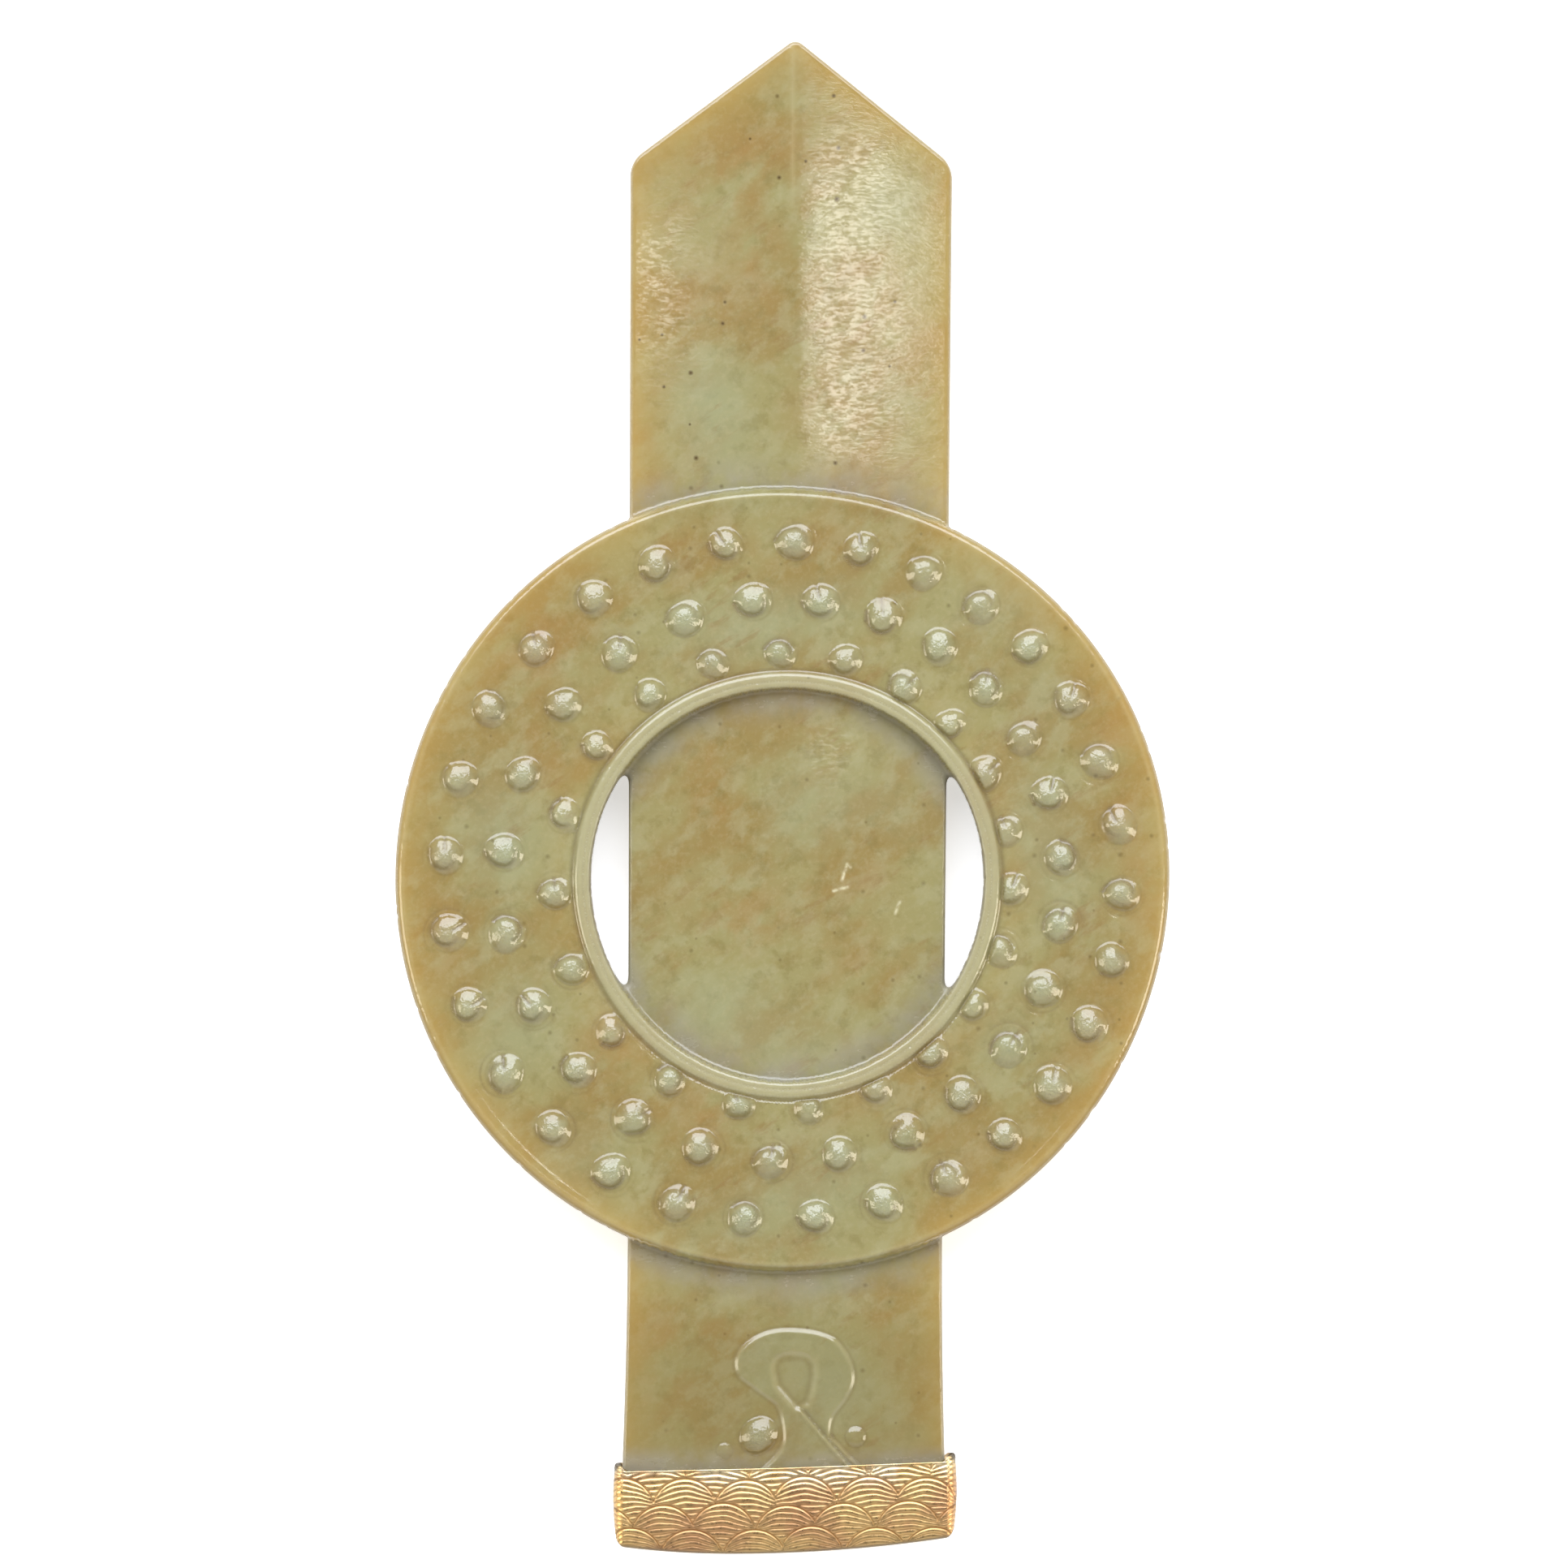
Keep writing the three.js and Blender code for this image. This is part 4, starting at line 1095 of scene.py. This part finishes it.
def make_cap():
    """The cap: a hollow shell in one closed mesh, its chased lines cut into the outside."""
    face_z = CAP_FACE_Z - CAP_CROWN - 0.02
    back_z = CAP_BACK_Z + CAP_CROWN / 2
    ring, along = cap_section(CAP_LEFT_X, CAP_RIGHT_X, (face_z, back_z), (CAP_CROWN, CAP_CROWN / 2),
                              CAP_EDGE_ROUND)
    unrolled_x = along + (CAP_LEFT_X + CAP_RIGHT_X) / 2
    outward = outward_from(ring)
    tablet_left, tablet_right = tablet_sides(np.array([TABLET_FOOT_Y]))
    inner_faces = (CAP_INNER_FACE_Z, TABLET_BACK_Z - CAP_GAP)
    inner, _ = cap_section(tablet_left[0] - CAP_GAP, tablet_right[0] + CAP_GAP, inner_faces,
                           (CAP_INNER_ROUND, 0), CAP_INNER_ROUND)
    mouth = cap_mouth_y(ring[:, 0])
    inner_mouth = np.minimum(mouth, cap_mouth_y(inner[:, 0]))
    end = cap_end_y(ring[:, 0])
    cap = CapMesh()
    rings = []

    def place(flat, y, groove=0):
        points = np.column_stack([flat[:, 0], y, flat[:, 1]])
        patina = cap_patina(ring[:, 0], y, mouth, end)
        # 1 at the mouth, fading downwards: where the painted glare shows
        polish = slope_between(y - mouth, -CAP_GLARE_REACH, 0)
        rings.append((points, cap.add_points(points, groove, patina, polish)))

    # From the hollow's floor up its wall and over the mouth's rounded edge
    place(inner, np.full(len(ring), CAP_FLOOR_Y))
    place(inner, (inner_mouth + CAP_FLOOR_Y) / 2)
    place(inner, inner_mouth - CAP_MOUTH_ROUND)
    place(inner * 0.85 + ring * 0.15, inner_mouth)
    place(ring - outward * CAP_MOUTH_ROUND, mouth)
    # Then down the outside, with the last rows close together round the end's edge
    fractions = np.concatenate([np.linspace(0, 0.95, CAP_ROWS - CAP_END_ROWS),
                                np.linspace(0.955, 1, CAP_END_ROWS)])
    for fraction in fractions:
        y = mouth - 0.08 + (end - mouth + 0.08) * fraction
        pillow = CAP_PILLOW * 4 * (fraction - CAP_PILLOW_TOP) ** 2
        inset = round_over(y - end, CAP_END_ROUND) * 0.9 + pillow
        groove = chased_lines(unrolled_x, y, mouth) * slope_between(y - end, 0.15, 0.45)
        place(ring - outward * (inset + SCALE_DEPTH * groove)[:, None], y, groove)

    for (_, upper), (_, lower) in zip(rings, rings[1:]):
        quads = np.column_stack([upper, lower, np.roll(lower, -1), np.roll(upper, -1)])
        cap.faces += quads.tolist()
    cap.close_ring(*rings[0], False)
    cap.close_ring(*rings[-1], True)
    values = {key: np.concatenate(parts) for key, parts in cap.values.items()}
    return make_mesh("gilt_cap_chased", np.vstack(cap.points), cap.faces, values)


# What the finishes are made of

# Warm brown stains (+) and cool pale clouds (-) in the stone: x, y, reach across, reach up, strength
STONE_PATCHES = [
    # The tablet above the disc
    (-4, 74, 7, 4, 0.8), (-3, 64, 3.5, 8, 0.7), (-13, 70, 4, 5, 0.5), (-10, 57, 7, 5, 0.6),
    (5, 47, 9, 5, 0.5), (13, 57, 4, 12, 0.5), (10, 38, 7, 6, 0.6), (-16, 40, 2.5, 10, 0.5),
    (-8, 45, 5, 9, -0.8), (0, 83, 4, 5, -0.3), (-1, 28, 12, 4, 0.4), (13, 68, 4, 4, -0.6),
    (14, 46, 4, 5, -0.5),
    # The disc
    (-29, 18, 7, 7, 0.9), (-10, 27, 11, 5, 0.3), (-6, 21, 8, 6, -0.6), (4, 22, 8, 4, -0.4),
    (26, 24, 8, 5, -0.5), (38, 10, 4, 8, 1), (42, -10, 3, 14, 0.8), (38, -30, 6, 9, 0.9),
    (30, -6, 5, 10, -0.6), (32, 12, 5, 5, -0.4), (-32, -4, 8, 7, -0.7), (-40, -17, 5, 9, 0.6),
    (-31, -27, 7, 6, -0.6), (-27, 3, 4, 6, 0.7), (-20, -29, 5, 5, 1), (-9, -37, 6, 5, 0.8),
    (5, -45, 14, 5, -0.6), (-25, -42, 8, 5, -0.4), (20, -41, 9, 5, 0.5), (-35, -38, 6, 5, 0.6),
    (9, -36, 5, 4, 0.5), (26, -27, 6, 5, -0.4), (-42, 2, 3, 12, 0.4),
    # The tablet in the disc's hole
    (-8, 1, 3, 7, 0.8), (-4, -14, 6, 5, 0.8), (9, -9, 6, 4, 0.6), (9, -19, 5, 4, 0.5),
    (-8, -25, 7, 6, -0.7), (3, -1, 6, 6, -0.5), (1, -30, 8, 4, -0.5), (-14, -10, 4, 9, 0.3),
    (13, -3, 4, 7, -0.3),
    # The tablet below the disc
    (-14, -64, 5, 8, 0.8), (-6, -60, 6, 4, 0.5), (13, -63, 4, 8, 0.6), (4, -57, 9, 3, -0.6),
    (6, -68, 5, 5, -0.8), (-8, -76, 6, 4, -0.2), (14, -74, 4, 5, -0.4),
]
GRAIN_LEAN = 0.35                 # the patches follow the stone's own grain, which rises to the right
# Rough white scratches, from one end to the other
WHITE_SCRATCHES = [
    (6.9, -9.6, 7.5, -7.7), (7.5, -7.7, 7.9, -8.1), (5.9, -10.85, 7.6, -10.35), (13.1, -13.4, 13.6, -12.1),
]
SCRATCH_WIDTH = 0.16


def stone_warmth(x, y):
    warmth = np.zeros(len(x))
    for px, py, across, up, strength in STONE_PATCHES:
        u = (x - px) + GRAIN_LEAN * (y - py)
        v = (y - py) - GRAIN_LEAN * (x - px)
        warmth += strength * np.exp(-((u / across) ** 2 + (v / up) ** 2))
    return np.clip(warmth, -1, 1)


def scratched(x, y):
    marks = np.zeros(len(x))
    for ax, ay, bx, by in WHITE_SCRATCHES:
        ex, ey = bx - ax, by - ay
        t = np.clip(((x - ax) * ex + (y - ay) * ey) / (ex * ex + ey * ey), 0, 1)
        marks = np.maximum(marks, ridge_line(np.hypot(x - ax - t * ex, y - ay - t * ey), SCRATCH_WIDTH))
    return marks


def linear(hex_colour):
    """An sRGB hex colour as the linear values that a shader takes."""
    parts = [int(hex_colour[i:i + 2], 16) / 255 for i in (0, 2, 4)]
    return [c / 12.92 if c <= 0.04045 else ((c + 0.055) / 1.055) ** 2.4 for c in parts] + [1]


def per_metre(size_mm):
    """The scale that gives a pattern this size in millimetres."""
    return 1 / (size_mm * MM)


def add(tree, kind, settings=None, sockets=None):
    """A node with its settings. A socket is given a value, or the output that feeds it."""
    node = tree.nodes.new(kind)
    for key, value in (settings or {}).items():
        setattr(node, key, value)
    for key, value in (sockets or {}).items():
        if isinstance(value, bpy.types.NodeSocket):
            tree.links.new(value, node.inputs[key])
        else:
            node.inputs[key].default_value = value
    return node


MIX_COLOURS = {"data_type": "RGBA"}
SHARE, FIRST, SECOND, MIXED = 0, 6, 7, 2      # sockets of a node that mixes two colours


def new_finish(name):
    material = bpy.data.materials.new(name)
    material.use_nodes = True
    tree = material.node_tree
    tree.nodes.clear()
    return material, tree


def put_on(piece, material, node):
    piece.data.materials.append(material)
    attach(piece, "root")
    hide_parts(node)


# The stone's own patterns: size in mm, how fine the detail goes, and the part of the noise that shows.
# "grain" rises to the right and "streak" does so more strongly. "strokes" lie across the tablet, as it was
# ground, and the marks of grinding are drawn coarser than real ones so that they show.
STONE_RUNS = {
    "grain": {"turn": math.radians(-50), "stretch": (1, 1.6, 1)},
    "streak": {"turn": math.radians(-58), "stretch": (1, 4, 1)},
    "strokes": {"turn": 0, "stretch": (2.6, 1, 1)},
    "even": {"turn": 0, "stretch": (1, 1, 1)},
}
STONE_PATTERNS = {
    "clouds": {"run": "grain", "size": 9, "detail": 4, "low": 0.4, "high": 0.6},
    "mottle": {"run": "grain", "size": 3, "detail": 5, "low": 0.46, "high": 0.64},
    "blotches": {"run": "even", "size": 2, "detail": 5, "low": 0.5, "high": 0.68},
    "flecks": {"run": "even", "size": 0.6, "detail": 3, "low": 0.45, "high": 0.75},
    "rust": {"run": "grain", "size": 4.2, "detail": 6, "low": 0.36, "high": 0.62},
    "streaks": {"run": "streak", "size": 1.5, "detail": 5, "low": 0.56, "high": 0.68},
    "streak_zones": {"run": "even", "size": 11, "detail": 2, "low": 0.46, "high": 0.6},
    "film_patches": {"run": "even", "size": 5, "detail": 5, "low": 0.25, "high": 0.7},
    "worn_patches": {"run": "even", "size": 3, "detail": 5, "low": 0.5, "high": 0.7},
    "grinding": {"run": "strokes", "size": 0.35, "detail": 3, "low": 0.4, "high": 0.7},
    "lumps": {"run": "even", "size": 0.75, "detail": 2, "low": 0.2, "high": 0.8},
    "speck_zones": {"run": "even", "size": 15, "detail": 1, "low": 0.44, "high": 0.5},
}
# Patterns that show only where another one, or the carving, lets them
STONE_MEETINGS = {
    "rusty": ("rust", "warm"),
    "rusty_streaks": ("streaks", "streak_zones"),
    "grey_film": ("film", "film_patches"),
    "dome_lumps": ("lumps", "dome"),
    "chipped": ("scratch", "lumps"),
    "speck_ground": ("speck_zones", "specked"),
}
# What is laid over the stone's ochre olive, one over the other: where, how strongly, and its colour
STONE_COLOURS = [
    ("clouds", 0.9, "8B8558"),
    ("mottle", 0.5, "95916B"),
    ("blotches", 0.4, "716536"),
    ("cool", 0.6, "8E9474"),
    ("rusty", 0.65, "8F6D3C"),
    ("rusty_streaks", 0.3, "7C5A33"),
    ("flecks", 0.15, "ABA37C"),
    # painted glow of light through the thin edges
    ("edge", 0.6, "AD8D48"),
    # paler toward each dome's top: the bosses' own paler stone, and a painted sheen
    ("dome", 0.5, "9CA288"),
    # dark in the cut lines: dirt in the grooves and painted shade
    ("lines", 0.6, "624E2E"),
    # painted shade, darker towards the tablet's lower end
    ("deep", 0.35, "6C6036"),
    # darker at each boss's foot: dirt and painted shade in the crease
    ("foot", 0.25, "6E6038"),
    ("grey_film", 0.7, "8D8776"),
    ("rim", 0.65, "A39E7C"),
    # pale lines along raised edges: wear and a painted highlight
    ("crest", 0.3, "BDB38A"),
    # grey along every edge: painted shade and dull reflection
    ("painted_grey_brink", 0.6, "8F8A78"),
    ("chipped", 0.9, "D2CCAA"),
]
STONE_SHINE = 0.04
STONE_DULLING = [
    ("grey_film", 0.25), ("worn_patches", 0.04), ("grinding", 0.07), ("dome", 0.2), ("lines", 0.24),
    ("crest", 0.2), ("painted_grey_brink", 0.4), ("rim", 0.1), ("foot", 0.12),
]
SPECK_SPACING = 3.3               # small dark mineral specks, this far apart in mm
SPECK_SIZE = 0.12                 # and this share of it across
SPECK_CELLS_EMPTY = 0.75          # this share of the cells holds none
GRINDING_DEPTH = 0.002            # of the marks of grinding, in mm
LUMP_DEPTH = 0.14                 # of the bosses' unevenness


def polished_nephrite():
    """Celadon nephrite, carved with grit and polished: a waxy shine over a clouded, faintly translucent
    body. Iron has stained it ochre along its cracks, and polish has dulled in the corners by the walls."""
    material, tree = new_finish("polished_nephrite")
    place = add(tree, "ShaderNodeTexCoord").outputs["Object"]
    runs = {}
    for name, run in STONE_RUNS.items():
        runs[name] = add(tree, "ShaderNodeMapping", {"vector_type": "TEXTURE"}, {
            "Vector": place, "Rotation": (0, 0, run["turn"]), "Scale": run["stretch"]}).outputs[0]
    shares = {}
    for name in CARVED_VALUES:
        shares[name] = add(tree, "ShaderNodeAttribute", {"attribute_name": name}).outputs["Fac"]
    for name, pattern in STONE_PATTERNS.items():
        noise = add(tree, "ShaderNodeTexNoise", None, {
            "Vector": runs[pattern["run"]], "Scale": per_metre(pattern["size"]),
            "Detail": pattern["detail"], "Roughness": 0.6})
        shares[name] = add(tree, "ShaderNodeMapRange", {"interpolation_type": "SMOOTHSTEP"}, {
            "Value": noise.outputs["Fac"],
            "From Min": pattern["low"],
            "From Max": pattern["high"],
        }).outputs[0]
    for name, (pattern, place_for_it) in STONE_MEETINGS.items():
        shares[name] = add(tree, "ShaderNodeMath", {"operation": "MULTIPLY"}, {
            0: shares[pattern], 1: shares[place_for_it]}).outputs[0]

    colour = linear("867444")
    for name, strength, hex_colour in STONE_COLOURS:
        share = add(tree, "ShaderNodeMath", {"operation": "MULTIPLY"}, {0: shares[name], 1: strength})
        colour = add(tree, "ShaderNodeMix", MIX_COLOURS, {
            SHARE: share.outputs[0], FIRST: colour, SECOND: linear(hex_colour)}).outputs[MIXED]

    # Here and there one cell in four holds a speck near its middle, and no two are quite the same size
    cells = add(tree, "ShaderNodeTexVoronoi", {"voronoi_dimensions": "2D"}, {
        "Vector": place, "Scale": per_metre(SPECK_SPACING)})
    chosen = add(tree, "ShaderNodeSeparateColor", None, {0: cells.outputs["Color"]})
    largest = add(tree, "ShaderNodeMapRange", None, {
        "Value": chosen.outputs[1], "To Min": SPECK_SIZE / 2, "To Max": SPECK_SIZE})
    speck = add(tree, "ShaderNodeMapRange", None, {
        "Value": cells.outputs["Distance"], "From Min": largest.outputs[0], "From Max": 0, "To Max": 1.2})
    picked = add(tree, "ShaderNodeMath", {"operation": "GREATER_THAN"}, {
        0: chosen.outputs[0], 1: SPECK_CELLS_EMPTY})
    speck = add(tree, "ShaderNodeMath", {"operation": "MULTIPLY"}, {
        0: speck.outputs[0], 1: picked.outputs[0]})
    speck = add(tree, "ShaderNodeMath", {"operation": "MULTIPLY", "use_clamp": True}, {
        0: speck.outputs[0], 1: shares["speck_ground"]})
    colour = add(tree, "ShaderNodeMix", MIX_COLOURS, {
        SHARE: speck.outputs[0], FIRST: colour, SECOND: linear("4C3A1C")}).outputs[MIXED]

    # Fine lines from grinding, and bosses that were never quite smooth
    ground = add(tree, "ShaderNodeBump", None, {
        "Strength": 0.5, "Distance": GRINDING_DEPTH * MM, "Height": shares["grinding"]})
    lumpy = add(tree, "ShaderNodeBump", None, {
        "Strength": 0.8, "Distance": LUMP_DEPTH * MM, "Height": shares["dome_lumps"],
        "Normal": ground.outputs[0]})
    rough = STONE_SHINE
    for name, strength in STONE_DULLING:
        rough = add(tree, "ShaderNodeMath", {"operation": "MULTIPLY_ADD"}, {
            0: shares[name], 1: strength, 2: rough}).outputs[0]

    stone = add(tree, "ShaderNodeBsdfPrincipled", {"subsurface_method": "RANDOM_WALK"}, {
        "Base Color": colour,
        "Roughness": rough,
        "IOR": 1.61,              # nephrite's own
        "Subsurface Weight": 0.3,
        "Subsurface Radius": (1.0, 0.95, 0.6),
        "Subsurface Scale": 0.5 * MM,
        "Normal": lumpy.outputs[0],
    })
    add(tree, "ShaderNodeOutputMaterial", None, {"Surface": stone.outputs[0]})
    return material


# Size in mm and detail of the gilding's rubbed places, its patches of painted glare and its fine unevenness
GILT_PATTERNS = ((7, 3), (3.5, 2), (0.5, 3))
GILT_UNEVENNESS = 0.02            # in mm


def chased_gilt_brass():
    """Brass, fire-gilt and chased: bright gold on the ridges between the cut lines, with dark brown dirt
    left in the lines and the gilding rubbed rosy in places."""
    material, tree = new_finish("chased_gilt_brass")
    place = add(tree, "ShaderNodeTexCoord").outputs["Object"]
    lines = add(tree, "ShaderNodeAttribute", {"attribute_name": "lines"}).outputs["Fac"]
    worn, patches, fine = [
        add(tree, "ShaderNodeTexNoise", None, {"Vector": place, "Scale": per_metre(size), "Detail": detail})
        for size, detail in GILT_PATTERNS]
    rosy = add(tree, "ShaderNodeMapRange", None, {
        "Value": worn.outputs["Fac"], "From Min": 0.42, "From Max": 0.62})
    gold = add(tree, "ShaderNodeMix", MIX_COLOURS, {
        SHARE: rosy.outputs[0], FIRST: linear("EBC485"), SECOND: linear("D8A878")})
    # Cream patches of painted glare near the mouth
    polish = add(tree, "ShaderNodeAttribute", {"attribute_name": "polish"}).outputs["Fac"]
    bright = add(tree, "ShaderNodeMapRange", None, {
        "Value": patches.outputs["Fac"], "From Min": 0.45, "From Max": 0.6})
    bright = add(tree, "ShaderNodeMath", {"operation": "MULTIPLY"}, {0: bright.outputs[0], 1: polish})
    gold = add(tree, "ShaderNodeMix", MIX_COLOURS, {
        SHARE: bright.outputs[0], FIRST: gold.outputs[MIXED], SECOND: linear("F7E0B0")})
    dirt = add(tree, "ShaderNodeMapRange", None, {
        "Value": lines, "From Min": 0.15, "From Max": 0.9, "To Max": 0.8})
    colour = add(tree, "ShaderNodeMix", MIX_COLOURS, {
        SHARE: dirt.outputs[0], FIRST: gold.outputs[MIXED], SECOND: linear("73481F")})
    patina = add(tree, "ShaderNodeAttribute", {"attribute_name": "patina"}).outputs["Fac"]
    colour = add(tree, "ShaderNodeMix", MIX_COLOURS, {
        SHARE: patina, FIRST: colour.outputs[MIXED], SECOND: linear("6B6355")})
    rough = add(tree, "ShaderNodeMapRange", None, {
        "Value": fine.outputs["Fac"], "From Min": 0.3, "From Max": 0.7, "To Min": 0.24, "To Max": 0.4})
    dull = add(tree, "ShaderNodeMath", {"operation": "MULTIPLY_ADD"}, {
        0: dirt.outputs[0], 1: 0.3, 2: rough.outputs[0]})
    bump = add(tree, "ShaderNodeBump", None, {
        "Strength": 0.3, "Distance": GILT_UNEVENNESS * MM, "Height": fine.outputs["Fac"]})
    metal = add(tree, "ShaderNodeBsdfPrincipled", None, {
        "Base Color": colour.outputs[MIXED],
        "Metallic": 1.0,
        "Roughness": dull.outputs[0],
        "Normal": bump.outputs[0],
    })
    add(tree, "ShaderNodeOutputMaterial", None, {"Surface": metal.outputs[0]})
    return material


# The studio

VIEW_CENTRE_X = 0.19
VIEW_CENTRE_Y = 1.55
VIEW_WIDTH = 181.3                # what the picture covers at the height of the object's face
FACE_Z = 8
CAMERA_DISTANCE = 1500

# Small lights straight above, each of which the tablet's slopes mirror in one place: name, place across and
# up, width and length in metres, and power
GLANCE_HEIGHT = 1.3
GLANCES = [
    ("glance_right", 0.113, 0.107, 0.02, 0.066, 0.037),
    ("glance_left", -0.125, 0.109, 0.009, 0.026, 0.0055),
    ("glance_low", 0.108, 0.011, 0.011, 0.016, 0.0016),
]


def add_object(name, data):
    made = bpy.data.objects.new(name, data)
    bpy.context.scene.collection.objects.link(made)
    return made


def make_camera():
    """A long lens straight above, so that the object's sides don't show."""
    camera = add_object("camera", bpy.data.cameras.new("camera"))
    camera.data.lens = camera.data.sensor_width * CAMERA_DISTANCE / VIEW_WIDTH
    camera.location = (VIEW_CENTRE_X * MM, VIEW_CENTRE_Y * MM, (FACE_Z + CAMERA_DISTANCE) * MM)
    camera.data.clip_start = 0.01
    camera.data.clip_end = 20
    bpy.context.scene.camera = camera


def make_floor():
    """Pale paper that is lit from within, so that shadows on it stay faint."""
    mesh = bpy.data.meshes.new("floor")
    reach, height = 4, -0.02 * MM
    mesh.from_pydata([(-reach, -reach, height), (reach, -reach, height), (reach, reach, height),
                      (-reach, reach, height)], [], [(0, 1, 2, 3)])
    floor = add_object("floor", mesh)
    material, tree = new_finish("pale_floor")
    paper = add(tree, "ShaderNodeBsdfPrincipled", None, {
        "Base Color": linear("F4F3F1"), "Roughness": 0.9, "Emission Color": linear("FFFFFF"),
        "Emission Strength": 0.52})
    add(tree, "ShaderNodeOutputMaterial", None, {"Surface": paper.outputs[0]})
    mesh.materials.append(material)


def add_softbox(name, place, size, power, hex_colour="FFFFFF", aim=(0, 0, 0)):
    """A rectangular light at a place in metres, turned to the object or to another aim."""
    lamp = bpy.data.lights.new(name, "AREA")
    lamp.shape = "RECTANGLE"
    lamp.size, lamp.size_y = size
    lamp.energy = power
    lamp.color = linear(hex_colour)[:3]
    box = add_object(name, lamp)
    box.location = place
    box.rotation_euler = (Vector(aim) - Vector(place)).to_track_quat("-Z", "Y").to_euler()
    return box


def light_studio():
    """Even daylight: a large cool light at the top of the picture, a weak one at its foot, and warm strips
    at both sides."""
    world = bpy.data.worlds.new("studio")
    world.use_nodes = True
    sky = world.node_tree.nodes["Background"]
    sky.inputs["Color"].default_value = linear("F2F4F7")
    sky.inputs["Strength"].default_value = 0.25
    bpy.context.scene.world = world
    bpy.context.scene.view_settings.view_transform = "Standard"
    add_softbox("softbox_top", (-0.05, 0.78, 0.86), (1.35, 1.0), 27, "ECF1FF")
    add_softbox("softbox_low", (0.05, -0.85, 0.6), (2.0, 0.8), 3.8, "FFFFFF")
    add_softbox("strip_left", (-0.7, -0.12, 0.45), (0.3, 0.5), 2.6, "FFF4DE")
    add_softbox("strip_right", (0.7, -0.2, 0.45), (0.3, 0.5), 3.4, "FFF4DE")
    for name, x, y, width, length, power in GLANCES:
        add_softbox(name, (x, y, GLANCE_HEIGHT), (width, length), power, "FFFAF0", (x, y, 0))


def main():
    make_camera()
    make_floor()
    light_studio()
    jade = make_jade()
    put_on(jade, polished_nephrite(), "jade_gui_bi")
    cap = make_cap()
    put_on(cap, chased_gilt_brass(), "gilt_end_cap")


main()
